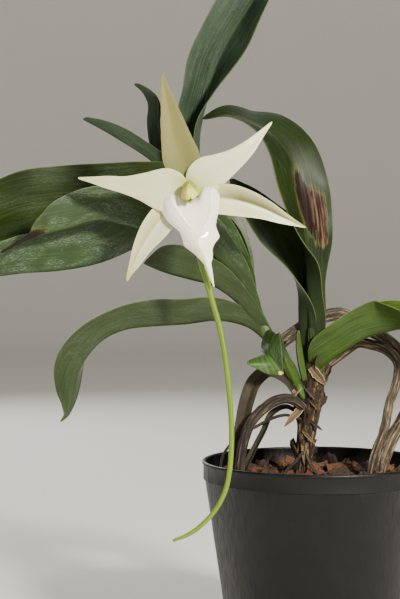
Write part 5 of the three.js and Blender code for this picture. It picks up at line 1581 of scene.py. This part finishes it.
def turned(name, section, segments=120):
    """Turns a closed half section round Z and caps both of its ends."""
    r, z = np.array(section).T
    turns = ((np.arange(segments) + 0.5) * 2 * math.pi / segments)[:, None]
    points = np.stack([r * np.cos(turns), r * np.sin(turns), z + 0 * turns], -1).reshape(-1, 3)
    index = np.arange(len(points)).reshape(segments, len(section))
    following = np.roll(index, -1, axis=0)
    quads = np.stack([index[:, :-1], following[:, :-1], following[:, 1:], index[:, 1:]], -1).reshape(-1, 4)
    obj = make_object(name, points, quads.tolist() + [index[::-1, 0].tolist(), index[:, -1].tolist()])
    face_outwards(obj)
    return obj


pot = turned("pot_shell", pot_section())
for number in range(DRAIN_HOLES):
    turn = 2 * math.pi * number / DRAIN_HOLES
    bpy.ops.mesh.primitive_cylinder_add(vertices=32, radius=DRAIN_RADIUS_MM * MM, depth=12 * MM, location=(
        DRAIN_CIRCLE_MM * MM * math.cos(turn), DRAIN_CIRCLE_MM * MM * math.sin(turn), 1 * MM))
    drill = bpy.context.object
    cut = pot.modifiers.new("drain_hole", "BOOLEAN")
    cut.operation = "DIFFERENCE"
    cut.object = drill
    bpy.context.view_layer.objects.active = pot
    bpy.ops.object.modifier_apply(modifier=cut.name)
    bpy.data.objects.remove(drill)
weld(pot, 0.001)
finish(pot, pot_plastic, "pot", "pot")
print("pot faces:", len(pot.data.polygons))

# %% [markdown]
# ## Floor, light and camera
# The stage is a wide pale bowl: a floor that curves up all round, so there is no horizon from any side.

# %% Stage
# The floor is flat out to its radius, then bends up into a wall.
FLOOR_RADIUS_MM = 4600
FLOOR_BEND_MM = 1600
WALL_HEIGHT_MM = 4200


def stage_bowl(segments=72):
    """A round floor that sweeps up into a wall, open at the top."""
    bend = [(FLOOR_RADIUS_MM + r, FLOOR_BEND_MM + z) for r, z in arc(0, 0, FLOOR_BEND_MM, -90, 0, 14)[1:]]
    wall_top = (FLOOR_RADIUS_MM + FLOOR_BEND_MM, WALL_HEIGHT_MM)
    section = [(20, 0), (1500, 0), (FLOOR_RADIUS_MM, 0)] + bend + [wall_top]
    points, faces = [], []
    for r, z in section:
        for k in range(segments):
            turn = 2 * math.pi * k / segments
            points.append((r * math.cos(turn), r * math.sin(turn), z))
    for ring in range(len(section) - 1):
        for k in range(segments):
            following = (k + 1) % segments
            low, high = ring * segments, (ring + 1) * segments
            faces.append((low + k, high + k, high + following, low + following))
    faces.append(tuple(range(segments)))
    obj = make_object("stage_bowl", points, faces)
    material, tree, _ = new_finish("pale_paper")
    shader = add_node(tree, "ShaderNodeBsdfPrincipled", None,
                      {"Base Color": linear("#F0EEE8"), "Roughness": 0.95})
    add_node(tree, "ShaderNodeOutputMaterial", None, {"Surface": shader})
    obj.data.materials.append(material)


stage_bowl()
print("stage set")

# %% [markdown]
# A soft key light shines from the right in front, as the light does in the photograph, and weaker ones fill
# the left, top and back. The world adds a little even grey.

# %% Light
FLOWER_HEART_M = (-0.06, -0.03, 0.36)


def soft_light(name, place, size, power, colour="#FFFFFF"):
    """A round soft light at a place in m that looks at the flower. Its size is in m, its power in W."""
    lamp = bpy.data.lights.new(name, "AREA")
    lamp.shape = "DISK"
    lamp.size = size
    lamp.energy = power
    lamp.color = linear(colour)[:3]
    obj = bpy.data.objects.new(name, lamp)
    bpy.context.collection.objects.link(obj)
    heading = np.array(FLOWER_HEART_M) - np.array(place)
    yaw = math.atan2(heading[0], heading[1])
    tip = math.atan2(heading[2], math.hypot(heading[0], heading[1]))
    obj.location = place
    obj.rotation_euler = (math.pi / 2 + tip, 0, -yaw)


soft_light("key_light", (0.95, -1.85, 1.15), 0.3, 126, "#FFF8EC")
soft_light("fill_light", (-2.0, -1.6, 0.9), 1.6, 6, "#F4F6FF")
soft_light("top_light", (0.5, 0.7, 2.2), 1.0, 18)
soft_light("back_light", (-0.9, 2.3, 1.3), 1.2, 24)
world = bpy.data.worlds.new("studio")
bpy.context.scene.world = world
world.use_nodes = True
grey = world.node_tree.nodes["Background"].inputs
grey["Color"].default_value = linear("#CFCFCE")
grey["Strength"].default_value = 0.3

# %% [markdown]
# The camera stands where the photograph's did, and sees the plant through the same long lens.

# %% Camera
lens = bpy.data.cameras.new("photo_lens")
lens.lens = 100
lens.sensor_width = 36
lens.sensor_fit = "AUTO"
lens.clip_end = 50
camera = bpy.data.objects.new("photo_camera", lens)
bpy.context.collection.objects.link(camera)
camera.location = [c * MM for c in VIEW_EYE_MM]
camera.rotation_euler = (math.pi / 2 - VIEW_TIP_DOWN, 0, 0)
bpy.context.scene.camera = camera
print("camera at", tuple(round(c, 3) for c in camera.location))
